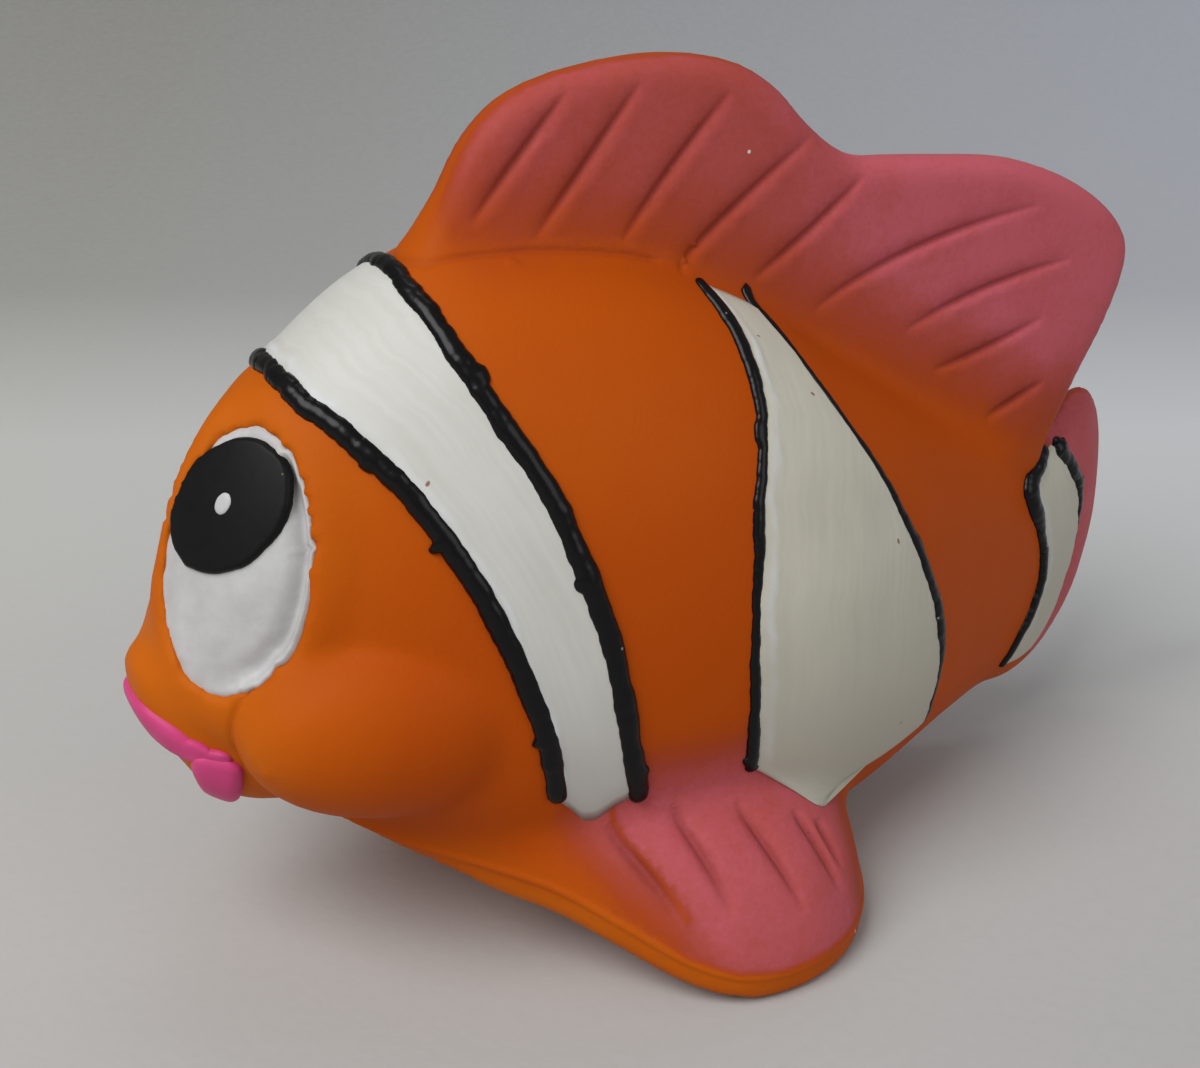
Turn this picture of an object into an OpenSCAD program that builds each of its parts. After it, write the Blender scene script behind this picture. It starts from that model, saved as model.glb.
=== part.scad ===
// Squeaky bath fish: a hollow latex moulding with hand-laid paint, and a reed squeaker in its belly.
// Nose toward -X, tail toward +X, left flank toward -Y, standing on z = 0.

/* [Overall] */
// Length from the nose to the rear edge of the tail
length = 114; // [100:1:128]
// Height from the resting face to the top of the back fin
height = 81; // [72:1:90]
// Width of the body at its fullest
body_w = 44; // [39:1:49]
// Width across the two side fins
fin_span = 63; // [58:1:70]

/* [Latex moulding] */
// Wall of the hollow body
wall = 2.2; // [1.6:0.1:3]
// Thickness of the floor that grips the squeaker
floor_t = 3.4; // [3:0.1:4.4]
// Full thickness of the back fin where it leaves the body
back_fin_root_t = 10; // [8:0.5:12]
// Full thickness of the back fin near its edge
back_fin_edge_t = 4.8; // [3.6:0.2:6]
// Height of the rim round the side fins
fin_rim_h = 2.7; // [2:0.1:3.4]
// How far the tail swings to the right
tail_swing = 8; // [0:0.5:10]
// Width of the grooves in the fins
groove_w = 1.8; // [1.4:0.1:2.4]
// Depth of the grooves in the fins
groove_depth = 0.6; // [0.4:0.1:0.9]

/* [Eyes] */
// Width of an eye
eye_w = 17.5; // [15:0.5:18]
// Height of an eye
eye_h = 28.5; // [25:0.5:30]
// Half of the gap between the two whites, which grows on a wider head
eye_apart = 0.8; // [0.7:0.1:1.4]
// How far the eyeball bulges from the head
eye_bulge = 1.9; // [1.6:0.1:2.4]
// Width of a pupil
pupil_w = 11; // [9.6:0.2:11.4]
// Height of a pupil
pupil_h = 13; // [11.8:0.2:13.4]
// Diameter of the white dot in a pupil
glint_d = 1.9; // [1.4:0.1:2.6]

/* [Paint] */
// Thickness of the white paint
paint_t = 0.35; // [0.25:0.05:0.5]
// Width of the black outline beads
bead_w = 2.1; // [1.6:0.1:2.6]
// Height of the black outline beads
bead_h = 0.75; // [0.5:0.05:1]
// Width of the upper lip at its middle
upper_lip_w = 4.2; // [3.6:0.2:5]
// Width of the lower lip at its middle
lower_lip_w = 4; // [3.2:0.2:4.6]
// Height of the lips
lip_h = 1; // [0.7:0.1:1.3]

/* [Squeaker] */
// Outer diameter of the squeaker barrel
barrel_d = 12; // [11:0.5:14]
// Bore of the squeaker barrel
barrel_bore_d = 9; // [8:0.5:10]
// Length of the squeaker barrel
barrel_l = 13; // [12:0.5:16]
// Diameter of the flange under the floor
flange_d = 16; // [15:0.5:18]
// Thickness of the flange
flange_t = 1; // [0.8:0.1:1.4]
// Diameter of the air hole in the flange end
air_hole_d = 3; // [2:0.2:3.6]
// Width of the brass reed
reed_w = 3.6; // [3:0.2:4.2]
// Thickness of the brass reed
reed_t = 0.2; // [0.15:0.05:0.3]
// Length of the reed that swings free
reed_free_l = 6; // [5:0.2:6.6]
// Length of the reed that is held
reed_held_l = 2; // [1.6:0.1:2.4]

/* [Clearances] */
// Gap between a paint layer and what it lies on
paint_gap = 0.2; // [0.14:0.01:0.26]
// Gap round the squeaker in the latex
seat_gap = 0.08; // [0.05:0.01:0.15]
// Gap round the parts inside the barrel
insert_gap = 0.05; // [0.03:0.01:0.08]
// Gap on each face of the held end of the reed
reed_gap = 0.1; // [0.08:0.01:0.14]

/* [Hidden] */

// One overrun serves every cut
overrun = 1;

// Stations of the body: place along the length, ridge, belly and widest height as shares of the height,
// half width as a share of half the body width, swing of the tail as a share of the whole swing
body_shares = [
    [-0.5, 0.383, 0.373, 0.378, 0.035, 0],
    [-0.497, 0.397, 0.342, 0.37, 0.14, 0],
    [-0.484, 0.41, 0.302, 0.35, 0.23, 0],
    [-0.472, 0.432, 0.274, 0.335, 0.285, 0],
    [-0.466, 0.458, 0.26, 0.325, 0.31, 0],
    [-0.457, 0.494, 0.239, 0.32, 0.325, 0],
    [-0.446, 0.535, 0.224, 0.318, 0.355, 0],
    [-0.42, 0.613, 0.208, 0.32, 0.44, 0],
    [-0.384, 0.683, 0.204, 0.33, 0.57, 0],
    [-0.341, 0.738, 0.168, 0.346, 0.685, 0],
    [-0.288, 0.787, 0.11, 0.346, 0.81, 0],
    [-0.227, 0.815, 0.045, 0.346, 0.91, 0],
    [-0.139, 0.81, -0.03, 0.346, 0.985, 0],
    [-0.052, 0.78, -0.04, 0.346, 1, 0],
    [0.036, 0.718, -0.03, 0.346, 0.955, 0],
    [0.097, 0.658, 0.02, 0.346, 0.855, 0],
    [0.15, 0.61, 0.044, 0.335, 0.74, 0],
    [0.202, 0.565, 0.068, 0.32, 0.6, 0],
    [0.255, 0.522, 0.086, 0.31, 0.45, 0],
    [0.307, 0.482, 0.098, 0.3, 0.315, 0.01],
    [0.351, 0.448, 0.098, 0.29, 0.225, 0.09],
    [0.393, 0.456, 0.094, 0.295, 0.175, 0.3],
    [0.428, 0.478, 0.092, 0.295, 0.155, 0.52],
    [0.46, 0.472, 0.11, 0.3, 0.14, 0.72],
    [0.485, 0.425, 0.17, 0.305, 0.115, 0.9],
    [0.5, 0.31, 0.3, 0.305, 0.03, 1]
];
// How square the section is above and below its widest height
upper_power = 2.1;
lower_power = 2.15;
station_count = 38;
side_count = 16;
// Share of the stations' spacing that crowds toward the two ends
crowding_share = 0.62;

// Interpolation of a table by its first column
function lim(v, low, high) = max(low, min(high, v));
function knot(t, s, i = 0) = i >= len(t) - 2 || s <= t[i + 1][0] ? i : knot(t, s, i + 1);
function slope(t, i, c) =
    let (a = max(i - 1, 0), b = min(i + 1, len(t) - 1))
    (t[b][c] - t[a][c]) / (t[b][0] - t[a][0]);
function read(t, s, c) =
    let (
        i = knot(t, s),
        run = t[i + 1][0] - t[i][0],
        u = lim((s - t[i][0]) / run, 0, 1)
    )
    t[i][c] * (2 * u^3 - 3 * u^2 + 1) + slope(t, i, c) * run * (u^3 - 2 * u^2 + u)
    + t[i + 1][c] * (3 * u^2 - 2 * u^3) + slope(t, i + 1, c) * run * (u^3 - u^2);
function unit(v) = v / norm(v);
function mix(a, b, u) = a + (b - a) * u;

// The body's surface
function ridge(x) = height * read(body_shares, x / length, 1);
function belly(x) = height * read(body_shares, x / length, 2);
function widest(x) = height * read(body_shares, x / length, 3);
function half_w(x) = body_w / 2 * read(body_shares, x / length, 4);
function swing(x) = tail_swing * read(body_shares, x / length, 5);
// Half width of a section at a height, for a ridge, a belly and a widest height
function section_y(w, top, bottom, mid, z) =
    let (
        above = z > mid,
        u = lim(above ? (z - mid) / (top - mid) : (mid - z) / (mid - bottom), 0, 1),
        p = above ? upper_power : lower_power
    )
    w * (1 - u^p)^(1 / p);
// A point of the surface: side is -1 for left and 1 for right, drop is the share from ridge to belly
function skin_point(x, drop, side) =
    let (z = mix(ridge(x), belly(x), drop))
    [x, swing(x) + side * section_y(half_w(x), ridge(x), belly(x), widest(x), z), z];
// Signed drop: negative on the left flank, positive on the right
function over(x, drop) = skin_point(x, abs(drop), drop < 0 ? -1 : 1);
probe = length / 2000;
probe_share = 0.002;
function along_x(x, drop) = unit(over(x + probe, drop) - over(x - probe, drop));
function along_drop(x, drop) =
    unit(over(x, min(drop + probe_share, 1)) - over(x, max(drop - probe_share, -1)));
function outward(x, drop) =
    let (n = unit(cross(along_x(x, drop), along_drop(x, drop))))
    n * (over(x, drop) - [x, swing(x), widest(x)]) < 0 ? -n : n;

// Closed solid through equal rings of points
module loft(rings) {
    n = len(rings[0]);
    m = len(rings);
    middle = function (ring) [for (c = [0:2]) [for (p = ring) p[c]] * [for (p = ring) 1] / n];
    points = concat([for (ring = rings) each ring], [middle(rings[0]), middle(rings[m - 1])]);
    faces = [
        for (i = [0:m - 2], j = [0:n - 1])
            let (k = (j + 1) % n)
            each [[i * n + j, i * n + k, (i + 1) * n + j], [i * n + k, (i + 1) * n + k, (i + 1) * n + j]],
        for (j = [0:n - 1]) [(j + 1) % n, j, m * n],
        for (j = [0:n - 1]) [(m - 1) * n + j, (m - 1) * n + (j + 1) % n, m * n + 1]
    ];
    // Faces are turned over if the rings ran the other way round
    volume = [for (f = faces) points[f[0]] * cross(points[f[1]], points[f[2]])] * [for (f = faces) 1];
    out_faces = volume > 0 ? [for (f = faces) [f[0], f[2], f[1]]] : faces;
    polyhedron(points = points, faces = out_faces, convexity = 6);
}

// Ring round the body at x, shrunk by a wall
function body_ring(x, inset = 0, ground = 0) =
    let (
        lean = function (c, scale_c)
            sqrt(1 + (scale_c * (read(body_shares, x / length + probe_share, c)
                - read(body_shares, x / length - probe_share, c)) / (2 * probe_share * length))^2),
        top = ridge(x) - inset * lean(1, height),
        bottom = belly(x) + inset * lean(2, height),
        w = half_w(x) - inset * lean(4, body_w / 2),
        mid = lim(widest(x), bottom, top)
    )
    [
        for (k = [0:2 * side_count - 1])
            let (
                a = 180 * k / side_count,
                p = cos(a) >= 0 ? upper_power : lower_power,
                z = mid + (cos(a) >= 0 ? top - mid : bottom - mid) * abs(cos(a))^(2 / p)
            )
            [x, swing(x) + w * sign(sin(a)) * abs(sin(a))^(2 / p), max(z, ground)]
    ];
function station(i, n, from, to) =
    let (u = mix(i / n, (1 - cos(180 * i / n)) / 2, crowding_share))
    mix(from, to, u);

module body_loft() {
    loft([
        for (i = [0:station_count])
            body_ring(station(i, station_count, -length / 2, length / 2))
    ]);
}

cavity_end_shares = [-0.44, 0.3];
cavity_count = 12;
module cavity() {
    loft([
        for (i = [0:cavity_count])
            let (x = station(i, cavity_count, length * cavity_end_shares[0], length * cavity_end_shares[1]))
            body_ring(x, wall, floor_t)
    ]);
}

// Back fin: places along its edge and its root, as shares of the length and the height
back_fin_shares = [
    [0, -0.266, 0.8, -0.262, 0.775],
    [0.04, -0.244, 0.843, -0.243, 0.78],
    [0.08, -0.227, 0.877, -0.225, 0.78],
    [0.12, -0.213, 0.914, -0.208, 0.78],
    [0.16, -0.196, 0.944, -0.19, 0.78],
    [0.2, -0.174, 0.968, -0.17, 0.775],
    [0.25, -0.139, 0.986, -0.142, 0.775],
    [0.31, -0.091, 0.997, -0.105, 0.765],
    [0.37, -0.047, 1, -0.07, 0.75],
    [0.43, -0.003, 0.993, -0.035, 0.73],
    [0.48, 0.033, 0.978, -0.005, 0.705],
    [0.53, 0.066, 0.948, 0.025, 0.68],
    [0.57, 0.091, 0.911, 0.05, 0.655],
    [0.61, 0.119, 0.877, 0.075, 0.635],
    [0.65, 0.145, 0.859, 0.1, 0.615],
    [0.69, 0.176, 0.855, 0.125, 0.595],
    [0.74, 0.222, 0.849, 0.155, 0.57],
    [0.8, 0.297, 0.836, 0.19, 0.54],
    [0.84, 0.351, 0.812, 0.215, 0.52],
    [0.875, 0.395, 0.78, 0.235, 0.505],
    [0.905, 0.428, 0.743, 0.255, 0.49],
    [0.925, 0.443, 0.708, 0.268, 0.48],
    [0.94, 0.445, 0.67, 0.28, 0.47],
    [0.955, 0.433, 0.61, 0.295, 0.455],
    [0.97, 0.414, 0.556, 0.31, 0.445],
    [0.985, 0.393, 0.5, 0.33, 0.43],
    [1, 0.366, 0.435, 0.35, 0.42]
];
back_fin_count = 30;
// The root of the back fin is no wider than this share of the body under it
back_fin_root_share = 0.7;
back_fin_thin_power = 1.6;
// Shares from root to edge at which the back fin has points
back_fin_rise_shares = [0, 0.35, 0.62, 0.82, 0.93, 0.98, 1];
function back_fin_edge(u) = [length * read(back_fin_shares, u, 1), height * read(back_fin_shares, u, 2)];
function back_fin_root(u) = [length * read(back_fin_shares, u, 3), height * read(back_fin_shares, u, 4)];
function back_fin_point(u, v, side) =
    let (
        e = back_fin_edge(u),
        r = back_fin_root(u),
        p = mix(r, e, v),
        left_to_edge = norm(e - r) * (1 - v),
        root_t = min(back_fin_root_t, back_fin_root_share * 2 * half_w(r[0])),
        t = mix(root_t, min(root_t, back_fin_edge_t), 1 - (1 - v)^back_fin_thin_power) / 2,
        near = lim(left_to_edge / (back_fin_edge_t / 2), 0, 1)
    )
    [p[0], side * t * sqrt(1 - (1 - near)^2), p[1]];
module back_fin() {
    rise = back_fin_rise_shares;
    loft([
        for (i = [0:back_fin_count])
            let (u = i / back_fin_count)
            [
                for (v = rise) back_fin_point(u, v, -1),
                for (k = [len(rise) - 2:-1:0]) back_fin_point(u, rise[k], 1)
            ]
    ]);
}
// Rays of the back fin: from and to, as shares along the fin and of its rise
back_ray_shares = [
    [0.27, 0.9, 0.12, 0.5], [0.345, 0.88, 0.21, 0.27], [0.46, 0.88, 0.325, 0.22],
    [0.575, 0.9, 0.41, 0.16], [0.655, 0.88, 0.525, 0.25], [0.835, 0.84, 0.615, 0.28],
    [0.885, 0.75, 0.75, 0.3], [0.895, 0.53, 0.81, 0.22], [0.94, 0.4, 0.905, 0.16]
];
groove_ball_r = (groove_w^2 / 4 + groove_depth^2) / (2 * groove_depth);
groove_facets = 8;
module groove(a, b, out_a, out_b) {
    hull() {
        translate(a + out_a * (groove_ball_r - groove_depth))
            sphere(r = groove_ball_r, $fn = groove_facets);
        translate(b + out_b * (groove_ball_r - groove_depth))
            sphere(r = groove_ball_r, $fn = groove_facets);
    }
}
module back_fin_grooves() {
    for (ray = back_ray_shares, side = [-1, 1]) {
        a = back_fin_point(ray[0], ray[1], side);
        b = back_fin_point(ray[2], ray[3], side);
        groove(a, b, [0, side, 0], [0, side, 0]);
    }
}

// Side fin: rim and root from front to rear, as shares of the length, half the fin span and the height
side_fin_shares = [
    [0, -0.362, -0.13, 0.188, -0.345, 0.195],
    [0.1, -0.335, -0.27, 0.174, -0.32, 0.195],
    [0.2, -0.298, -0.39, 0.158, -0.29, 0.205],
    [0.3, -0.255, -0.51, 0.142, -0.25, 0.22],
    [0.4, -0.215, -0.64, 0.126, -0.21, 0.23],
    [0.5, -0.175, -0.78, 0.094, -0.17, 0.235],
    [0.6, -0.135, -0.91, 0.06, -0.13, 0.235],
    [0.68, -0.098, -0.985, 0.042, -0.09, 0.235],
    [0.75, -0.058, -1, 0.034, -0.05, 0.23],
    [0.82, -0.014, -0.97, 0.033, -0.015, 0.22],
    [0.88, 0.025, -0.89, 0.033, 0.02, 0.2],
    [0.93, 0.055, -0.77, 0.033, 0.045, 0.175],
    [0.97, 0.073, -0.64, 0.042, 0.065, 0.15],
    [1, 0.088, -0.48, 0.055, 0.085, 0.12]
];
side_fin_count = 22;
side_fin_rise_count = 6;
// The root lies inside the body, and no further out than a share of the rim
side_fin_root_share = 0.6;
side_fin_root_rim_share = 0.9;
side_fin_knee_shares = [0.6, 0.78, 0.8];
// The rim grows to its full height over the first share of the fin, from its least share
side_fin_grow_share = 0.33;
side_fin_least_share = 0.15;
// The rim tucks in under its widest line
side_fin_tuck_share = 0.18;
side_fin_round_share = 0.75;
function side_fin_rim_h(u) = fin_rim_h * lim(u / side_fin_grow_share, side_fin_least_share, 1);
function side_fin_rim(u) = [
    length * read(side_fin_shares, u, 1),
    fin_span / 2 * read(side_fin_shares, u, 2),
    max(height * read(side_fin_shares, u, 3), side_fin_rim_h(u))
];
function side_fin_root(u) = [
    length * read(side_fin_shares, u, 4),
    max(-side_fin_root_share * body_w / 2, side_fin_root_rim_share * side_fin_rim(u)[1]),
    height * read(side_fin_shares, u, 5)
];
function side_fin_knee(u) =
    let (a = side_fin_root(u), b = side_fin_rim(u), k = side_fin_knee_shares)
    [mix(a[0], b[0], k[0]), mix(a[1], b[1], k[1]), mix(b[2], a[2], k[2])];
// Upper surface from root to rim
function side_fin_top(u, v) =
    let (a = side_fin_root(u), k = side_fin_knee(u), b = side_fin_rim(u))
    a * (1 - v)^2 + k * 2 * v * (1 - v) + b * v^2;
function side_fin_ring(u) =
    let (
        b = side_fin_rim(u),
        a = side_fin_root(u),
        h = min(side_fin_rim_h(u), b[2]),
        under = max(0, min(b[2] - h, belly(a[0]) + wall))
    )
    [
        [a[0], a[1], under],
        b - [0, -side_fin_tuck_share * h, h],
        b - [0, 0, side_fin_round_share * h],
        for (i = [side_fin_rise_count:-1:0]) side_fin_top(u, i / side_fin_rise_count)
    ];
module side_fin() {
    loft([for (i = [0:side_fin_count]) side_fin_ring(i / side_fin_count)]);
}
side_ray_shares = [
    [0.49, 0.46, 0.59, 0.9], [0.63, 0.34, 0.68, 0.82], [0.73, 0.36, 0.79, 0.84],
    [0.82, 0.42, 0.86, 0.82], [0.86, 0.5, 0.88, 0.76]
];
module side_fin_grooves() {
    for (ray = side_ray_shares) {
        places = [for (k = [0:1]) side_fin_top(ray[2 * k], ray[2 * k + 1])];
        outs = [
            for (k = [0:1])
                let (
                    u = ray[2 * k],
                    v = ray[2 * k + 1],
                    du = side_fin_top(u + probe_share, v) - side_fin_top(u - probe_share, v),
                    dv = side_fin_top(u, v + probe_share) - side_fin_top(u, v - probe_share),
                    n = unit(cross(du, dv))
                )
                n[2] < 0 ? -n : n
        ];
        groove(places[0], places[1], outs[0], outs[1]);
    }
}

// Cheek: the gill cover that stands out behind the mouth
cheek_place_shares = [-0.3, -0.21, 0.335];
cheek_size_shares = [0.142, 0.215, 0.122];
cheek_facets = 18;
function of_body(shares) = [shares[0] * length, shares[1] * body_w, shares[2] * height];
module cheek() {
    translate(of_body(cheek_place_shares))
        scale(of_body(cheek_size_shares)) sphere(r = 1, $fn = cheek_facets);
}

// Eye: a ball sunk in the head, turned by its yaw from the nose, its pitch upward and its roll
eye_x_share = -0.416;
eye_z_share = 0.5185;
eye_yaw = 39;
eye_pitch = 21;
eye_roll = -3;
eye_depth = 2.5;
eye_facets = 20;
eye_white_share = 0.84;
eye_out = [-cos(eye_yaw) * cos(eye_pitch), -sin(eye_yaw) * cos(eye_pitch), sin(eye_pitch)];
eye_level = unit(cross(eye_out, [0, 0, 1]));
eye_rise = cross(eye_level, eye_out);
eye_across = eye_level * cos(eye_roll) - eye_rise * sin(eye_roll);
eye_up = eye_rise * cos(eye_roll) + eye_level * sin(eye_roll);
eye_sink = eye_depth - eye_bulge;
// A place on the left eyeball, from the middle of the eye and lifted off it
function eye_relief(u, v, lift) =
    let (h = eye_depth * sqrt(max(0, 1 - (2 * u / eye_w)^2 - (2 * v / eye_h)^2)))
    eye_across * u + eye_up * v + eye_out * (h - eye_sink + lift);
// The eyes stand half of the gap off the middle, or further where the whites would sink into a wide head
eye_x = eye_x_share * length;
eye_z = eye_z_share * height;
eye_edge_rise = eye_relief(-eye_white_share * eye_w / 2, 0, paint_gap + paint_t) * eye_out;
eye_from_middle = eye_apart + eye_white_share * eye_w / 2 * cos(eye_yaw) + eye_edge_rise * eye_out[1];
eye_edge_step = 15;
eye_from_head = max([
    for (a = [0:eye_edge_step:360 - eye_edge_step])
        let (
            edge = eye_relief(
                eye_white_share * eye_w / 2 * cos(a), eye_white_share * eye_h / 2 * sin(a), paint_gap
            ),
            x = eye_x + edge[0]
        )
        section_y(half_w(x), ridge(x), belly(x), widest(x), eye_z + edge[2]) + edge[1]
]);
eye_centre = [eye_x, -max(eye_from_middle, eye_from_head), eye_z];
module eyeball() {
    // Neither eyeball crosses the middle of the head
    intersection() {
        multmatrix([
            for (r = [0:2])
                [eye_across[r], eye_up[r], eye_out[r], eye_centre[r] - eye_out[r] * eye_sink],
            [0, 0, 0, 1]
        ])
            scale([eye_w / 2, eye_h / 2, eye_depth]) sphere(r = 1, $fn = eye_facets);
        translate([-length, -body_w, 0])
            cube([length, body_w, 2 * height]);
    }
}

seat_facets = 48;
module squeaker_seat_cut() {
    translate([squeaker_x, 0, -overrun])
        cylinder(d = barrel_d + 2 * seat_gap, h = floor_t + 2 * overrun, $fn = seat_facets);
    translate([squeaker_x, 0, -overrun])
        cylinder(d = flange_d + 2 * seat_gap, h = overrun + end_wall_top + seat_gap, $fn = seat_facets);
}

module body_shell() {
    color([0.85, 0.42, 0.1])
    difference() {
        union() {
            body_loft();
            back_fin();
            for (side = [0, 1]) mirror([0, side, 0]) {
                side_fin();
                cheek();
                eyeball();
            }
        }
        cavity();
        squeaker_seat_cut();
        back_fin_grooves();
        for (side = [0, 1]) mirror([0, side, 0]) side_fin_grooves();
    }
}

// Bead laid along a path of [place along x, signed drop, share of the width], tapered at its ends
bead_facets = 4;
bead_end_shares = [0.35, 0.8];
module bead(path, w, h, lift) {
    n = len(path) - 1;
    places = [for (p = path) over(p[0], p[1])];
    loft([
        for (i = [0:n])
            let (
                run = unit(places[min(i + 1, n)] - places[max(i - 1, 0)]),
                out = outward(path[i][0], path[i][1]),
                aside = unit(cross(run, out)),
                from_end = min(i, n - i),
                s = from_end < len(bead_end_shares) ? bead_end_shares[from_end] : 1,
                half = w / 2 * s * (len(path[i]) > 2 ? path[i][2] : 1)
            )
            [
                for (k = [0:bead_facets])
                    let (a = 180 * k / bead_facets)
                    places[i] + aside * half * cos(a) + out * (lift + h * s * sin(a))
            ]
    ]);
}

// Painted bands: signed drop, front line and rear line as shares of the length
head_band_shares = [
    [0, -0.37, -0.272], [0.02, -0.367, -0.27], [0.06, -0.36, -0.262], [0.13, -0.342, -0.249],
    [0.2, -0.323, -0.231], [0.28, -0.301, -0.208], [0.36, -0.28, -0.191], [0.45, -0.259, -0.175],
    [0.54, -0.239, -0.163], [0.63, -0.223, -0.154], [0.72, -0.213, -0.144]
];
flank_band_shares = [
    [0.025, -0.029, 0.027], [0.06, -0.018, 0.036], [0.1, -0.018, 0.056], [0.15, -0.02, 0.08],
    [0.2, -0.026, 0.101], [0.27, -0.037, 0.122], [0.35, -0.043, 0.143], [0.44, -0.048, 0.162],
    [0.53, -0.048, 0.175], [0.62, -0.046, 0.182], [0.7, -0.046, 0.184], [0.78, -0.046, 0.183],
    [0.88, -0.046, 0.175]
];
tail_band_shares = [
    [0.1, 0.341, 0.396], [0.18, 0.338, 0.41], [0.27, 0.35, 0.423], [0.36, 0.359, 0.434],
    [0.46, 0.366, 0.438], [0.56, 0.365, 0.437], [0.66, 0.354, 0.43], [0.75, 0.34, 0.418],
    [0.83, 0.33, 0.397], [0.9, 0.322, 0.36]
];
function line_x(t, c, drop) = length * read(t, abs(drop), c);
// Half a bead and its gap, measured along x where the line runs askew
line_skew_share = 0.35;
function line_room(t, c, drop) =
    let (
        ahead = drop + probe_share,
        behind = drop - probe_share,
        run = unit(over(line_x(t, c, ahead), ahead) - over(line_x(t, c, behind), behind))
    )
    (bead_w / 2 + paint_gap) / max(norm(cross(run, along_x(line_x(t, c, drop), drop))), line_skew_share);
function spread(from, to, n) = [for (i = [0:n]) mix(from, to, i / n)];

// Paint over the rows of a band, between its two lines; fronts may hold its front edge back
coat_columns = 6;
tail_coat_columns = 3;
module coat(t, rows, fronts = [], columns = coat_columns) {
    loft([
        for (i = [0:len(rows) - 1])
            let (
                d = rows[i],
                held = len(fronts) > 0 ? length * fronts[i] : -length,
                front = max(line_x(t, 1, d) + line_room(t, 1, d), held),
                rear = max(line_x(t, 2, d) - line_room(t, 2, d), front + paint_t)
            )
            [
                for (k = [0:columns])
                    let (x = mix(front, rear, k / columns))
                    over(x, d) + outward(x, d) * (paint_gap + paint_t),
                for (k = [columns:-1:0])
                    let (x = mix(front, rear, k / columns))
                    over(x, d) + outward(x, d) * paint_gap
            ]
    ]);
}
module line(t, c, rows) {
    bead([for (d = rows) [line_x(t, c, d), d]], bead_w, bead_h, paint_gap);
}

// Rows of the head band run from the left flank over the ridge to the right flank
head_end_share = 0.7;
head_row_count = 28;
head_rows = [for (e = spread(-1, 1, head_row_count)) sign(e) * head_end_share * e^2];
module head_band() {
    color([0.95, 0.94, 0.9]) coat(head_band_shares, head_rows);
}
module head_line_front() {
    color([0.05, 0.05, 0.05]) line(head_band_shares, 1, head_rows);
}
module head_line_rear() {
    color([0.05, 0.05, 0.05]) line(head_band_shares, 2, head_rows);
}

// Each row of the flank's paint, and the share of the length that its front edge keeps behind:
// below the side fin's root the paint goes behind the fin
flank_coat_shares = [
    [0.04, -0.1], [0.07, -0.1], [0.11, -0.1], [0.17, -0.1], [0.24, -0.1], [0.31, -0.1], [0.38, -0.1],
    [0.45, -0.1], [0.52, -0.1], [0.59, -0.1], [0.65, -0.1], [0.67, -0.03], [0.7, 0.03],
    [0.74, 0.09], [0.79, 0.115], [0.84, 0.13]
];
module flank_band(side) {
    rows = [for (row = flank_coat_shares) row[0] * side];
    color([0.93, 0.92, 0.87]) coat(flank_band_shares, rows, [for (row = flank_coat_shares) row[1]]);
}
flank_front_end_shares = [0.03, 0.68];
flank_rear_end_shares = [0.03, 0.86];
flank_row_count = 16;
module flank_line(c, ends, side) {
    color([0.05, 0.05, 0.05]) line(flank_band_shares, c, spread(ends[0], ends[1], flank_row_count) * side);
}
module flank_line_front(side) {
    flank_line(1, flank_front_end_shares, side);
}
module flank_line_rear(side) {
    flank_line(2, flank_rear_end_shares, side);
}
tail_end_shares = [0.13, 0.88];
tail_row_count = 11;
tail_rows = spread(tail_end_shares[0], tail_end_shares[1], tail_row_count);
module tail_band(side) {
    color([0.93, 0.92, 0.87]) coat(tail_band_shares, tail_rows * side, columns = tail_coat_columns);
}
module tail_line_front(side) {
    color([0.05, 0.05, 0.05]) line(tail_band_shares, 1, tail_rows * side);
}
module tail_line_rear(side) {
    color([0.05, 0.05, 0.05]) line(tail_band_shares, 2, tail_rows * side);
}

eye_ring_shares = [0.15, 0.6, 0.9, 1];
eye_ring_count = 20;
glint_ring_count = 10;
// Oval layer on an eyeball: its centre, half sizes, lift, thickness, crown, lean and points round
module eye_layer(centre, half, lift, t, crown = 0, lean = 0, count = eye_ring_count) {
    n = len(eye_ring_shares);
    ring = function (r, h) [
        for (k = [0:count - 1])
            let (u = half[0] * r * cos(360 * k / count), v = half[1] * r * sin(360 * k / count))
            eye_centre
                + eye_relief(centre[0] + u * cos(lean) - v * sin(lean), centre[1] + u * sin(lean) + v * cos(lean), h)
    ];
    loft([
        for (r = eye_ring_shares) ring(r, lift + t + crown * (1 - r^2)),
        for (k = [n - 1:-1:0]) ring(eye_ring_shares[k], lift)
    ]);
}
pupil_place_shares = [0.063, 0.163];
pupil_lean = 35;
pupil_crown = 0.35;
glint_place_shares = [0.07, 0.168];
glint_t = 0.3;
white_top = paint_gap + paint_t;
pupil_top = white_top + paint_gap + paint_t + pupil_crown;
module to_side(side) {
    mirror([0, side > 0 ? 1 : 0, 0]) children();
}
module eye_white(side) {
    color([0.96, 0.95, 0.92]) to_side(side)
        eye_layer([0, 0], [eye_w, eye_h] * eye_white_share / 2, paint_gap, paint_t);
}
module pupil(side) {
    color([0.04, 0.04, 0.04]) to_side(side)
        eye_layer(
            [eye_w * pupil_place_shares[0], eye_h * pupil_place_shares[1]],
            [pupil_w, pupil_h] / 2, white_top + paint_gap, paint_t, pupil_crown, pupil_lean
        );
}
module eye_glint(side) {
    color([1, 1, 1]) to_side(side)
        eye_layer(
            [eye_w * glint_place_shares[0], eye_h * glint_place_shares[1]],
            [glint_d, glint_d] / 2, pupil_top + paint_gap, glint_t, count = glint_ring_count
        );
}

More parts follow.
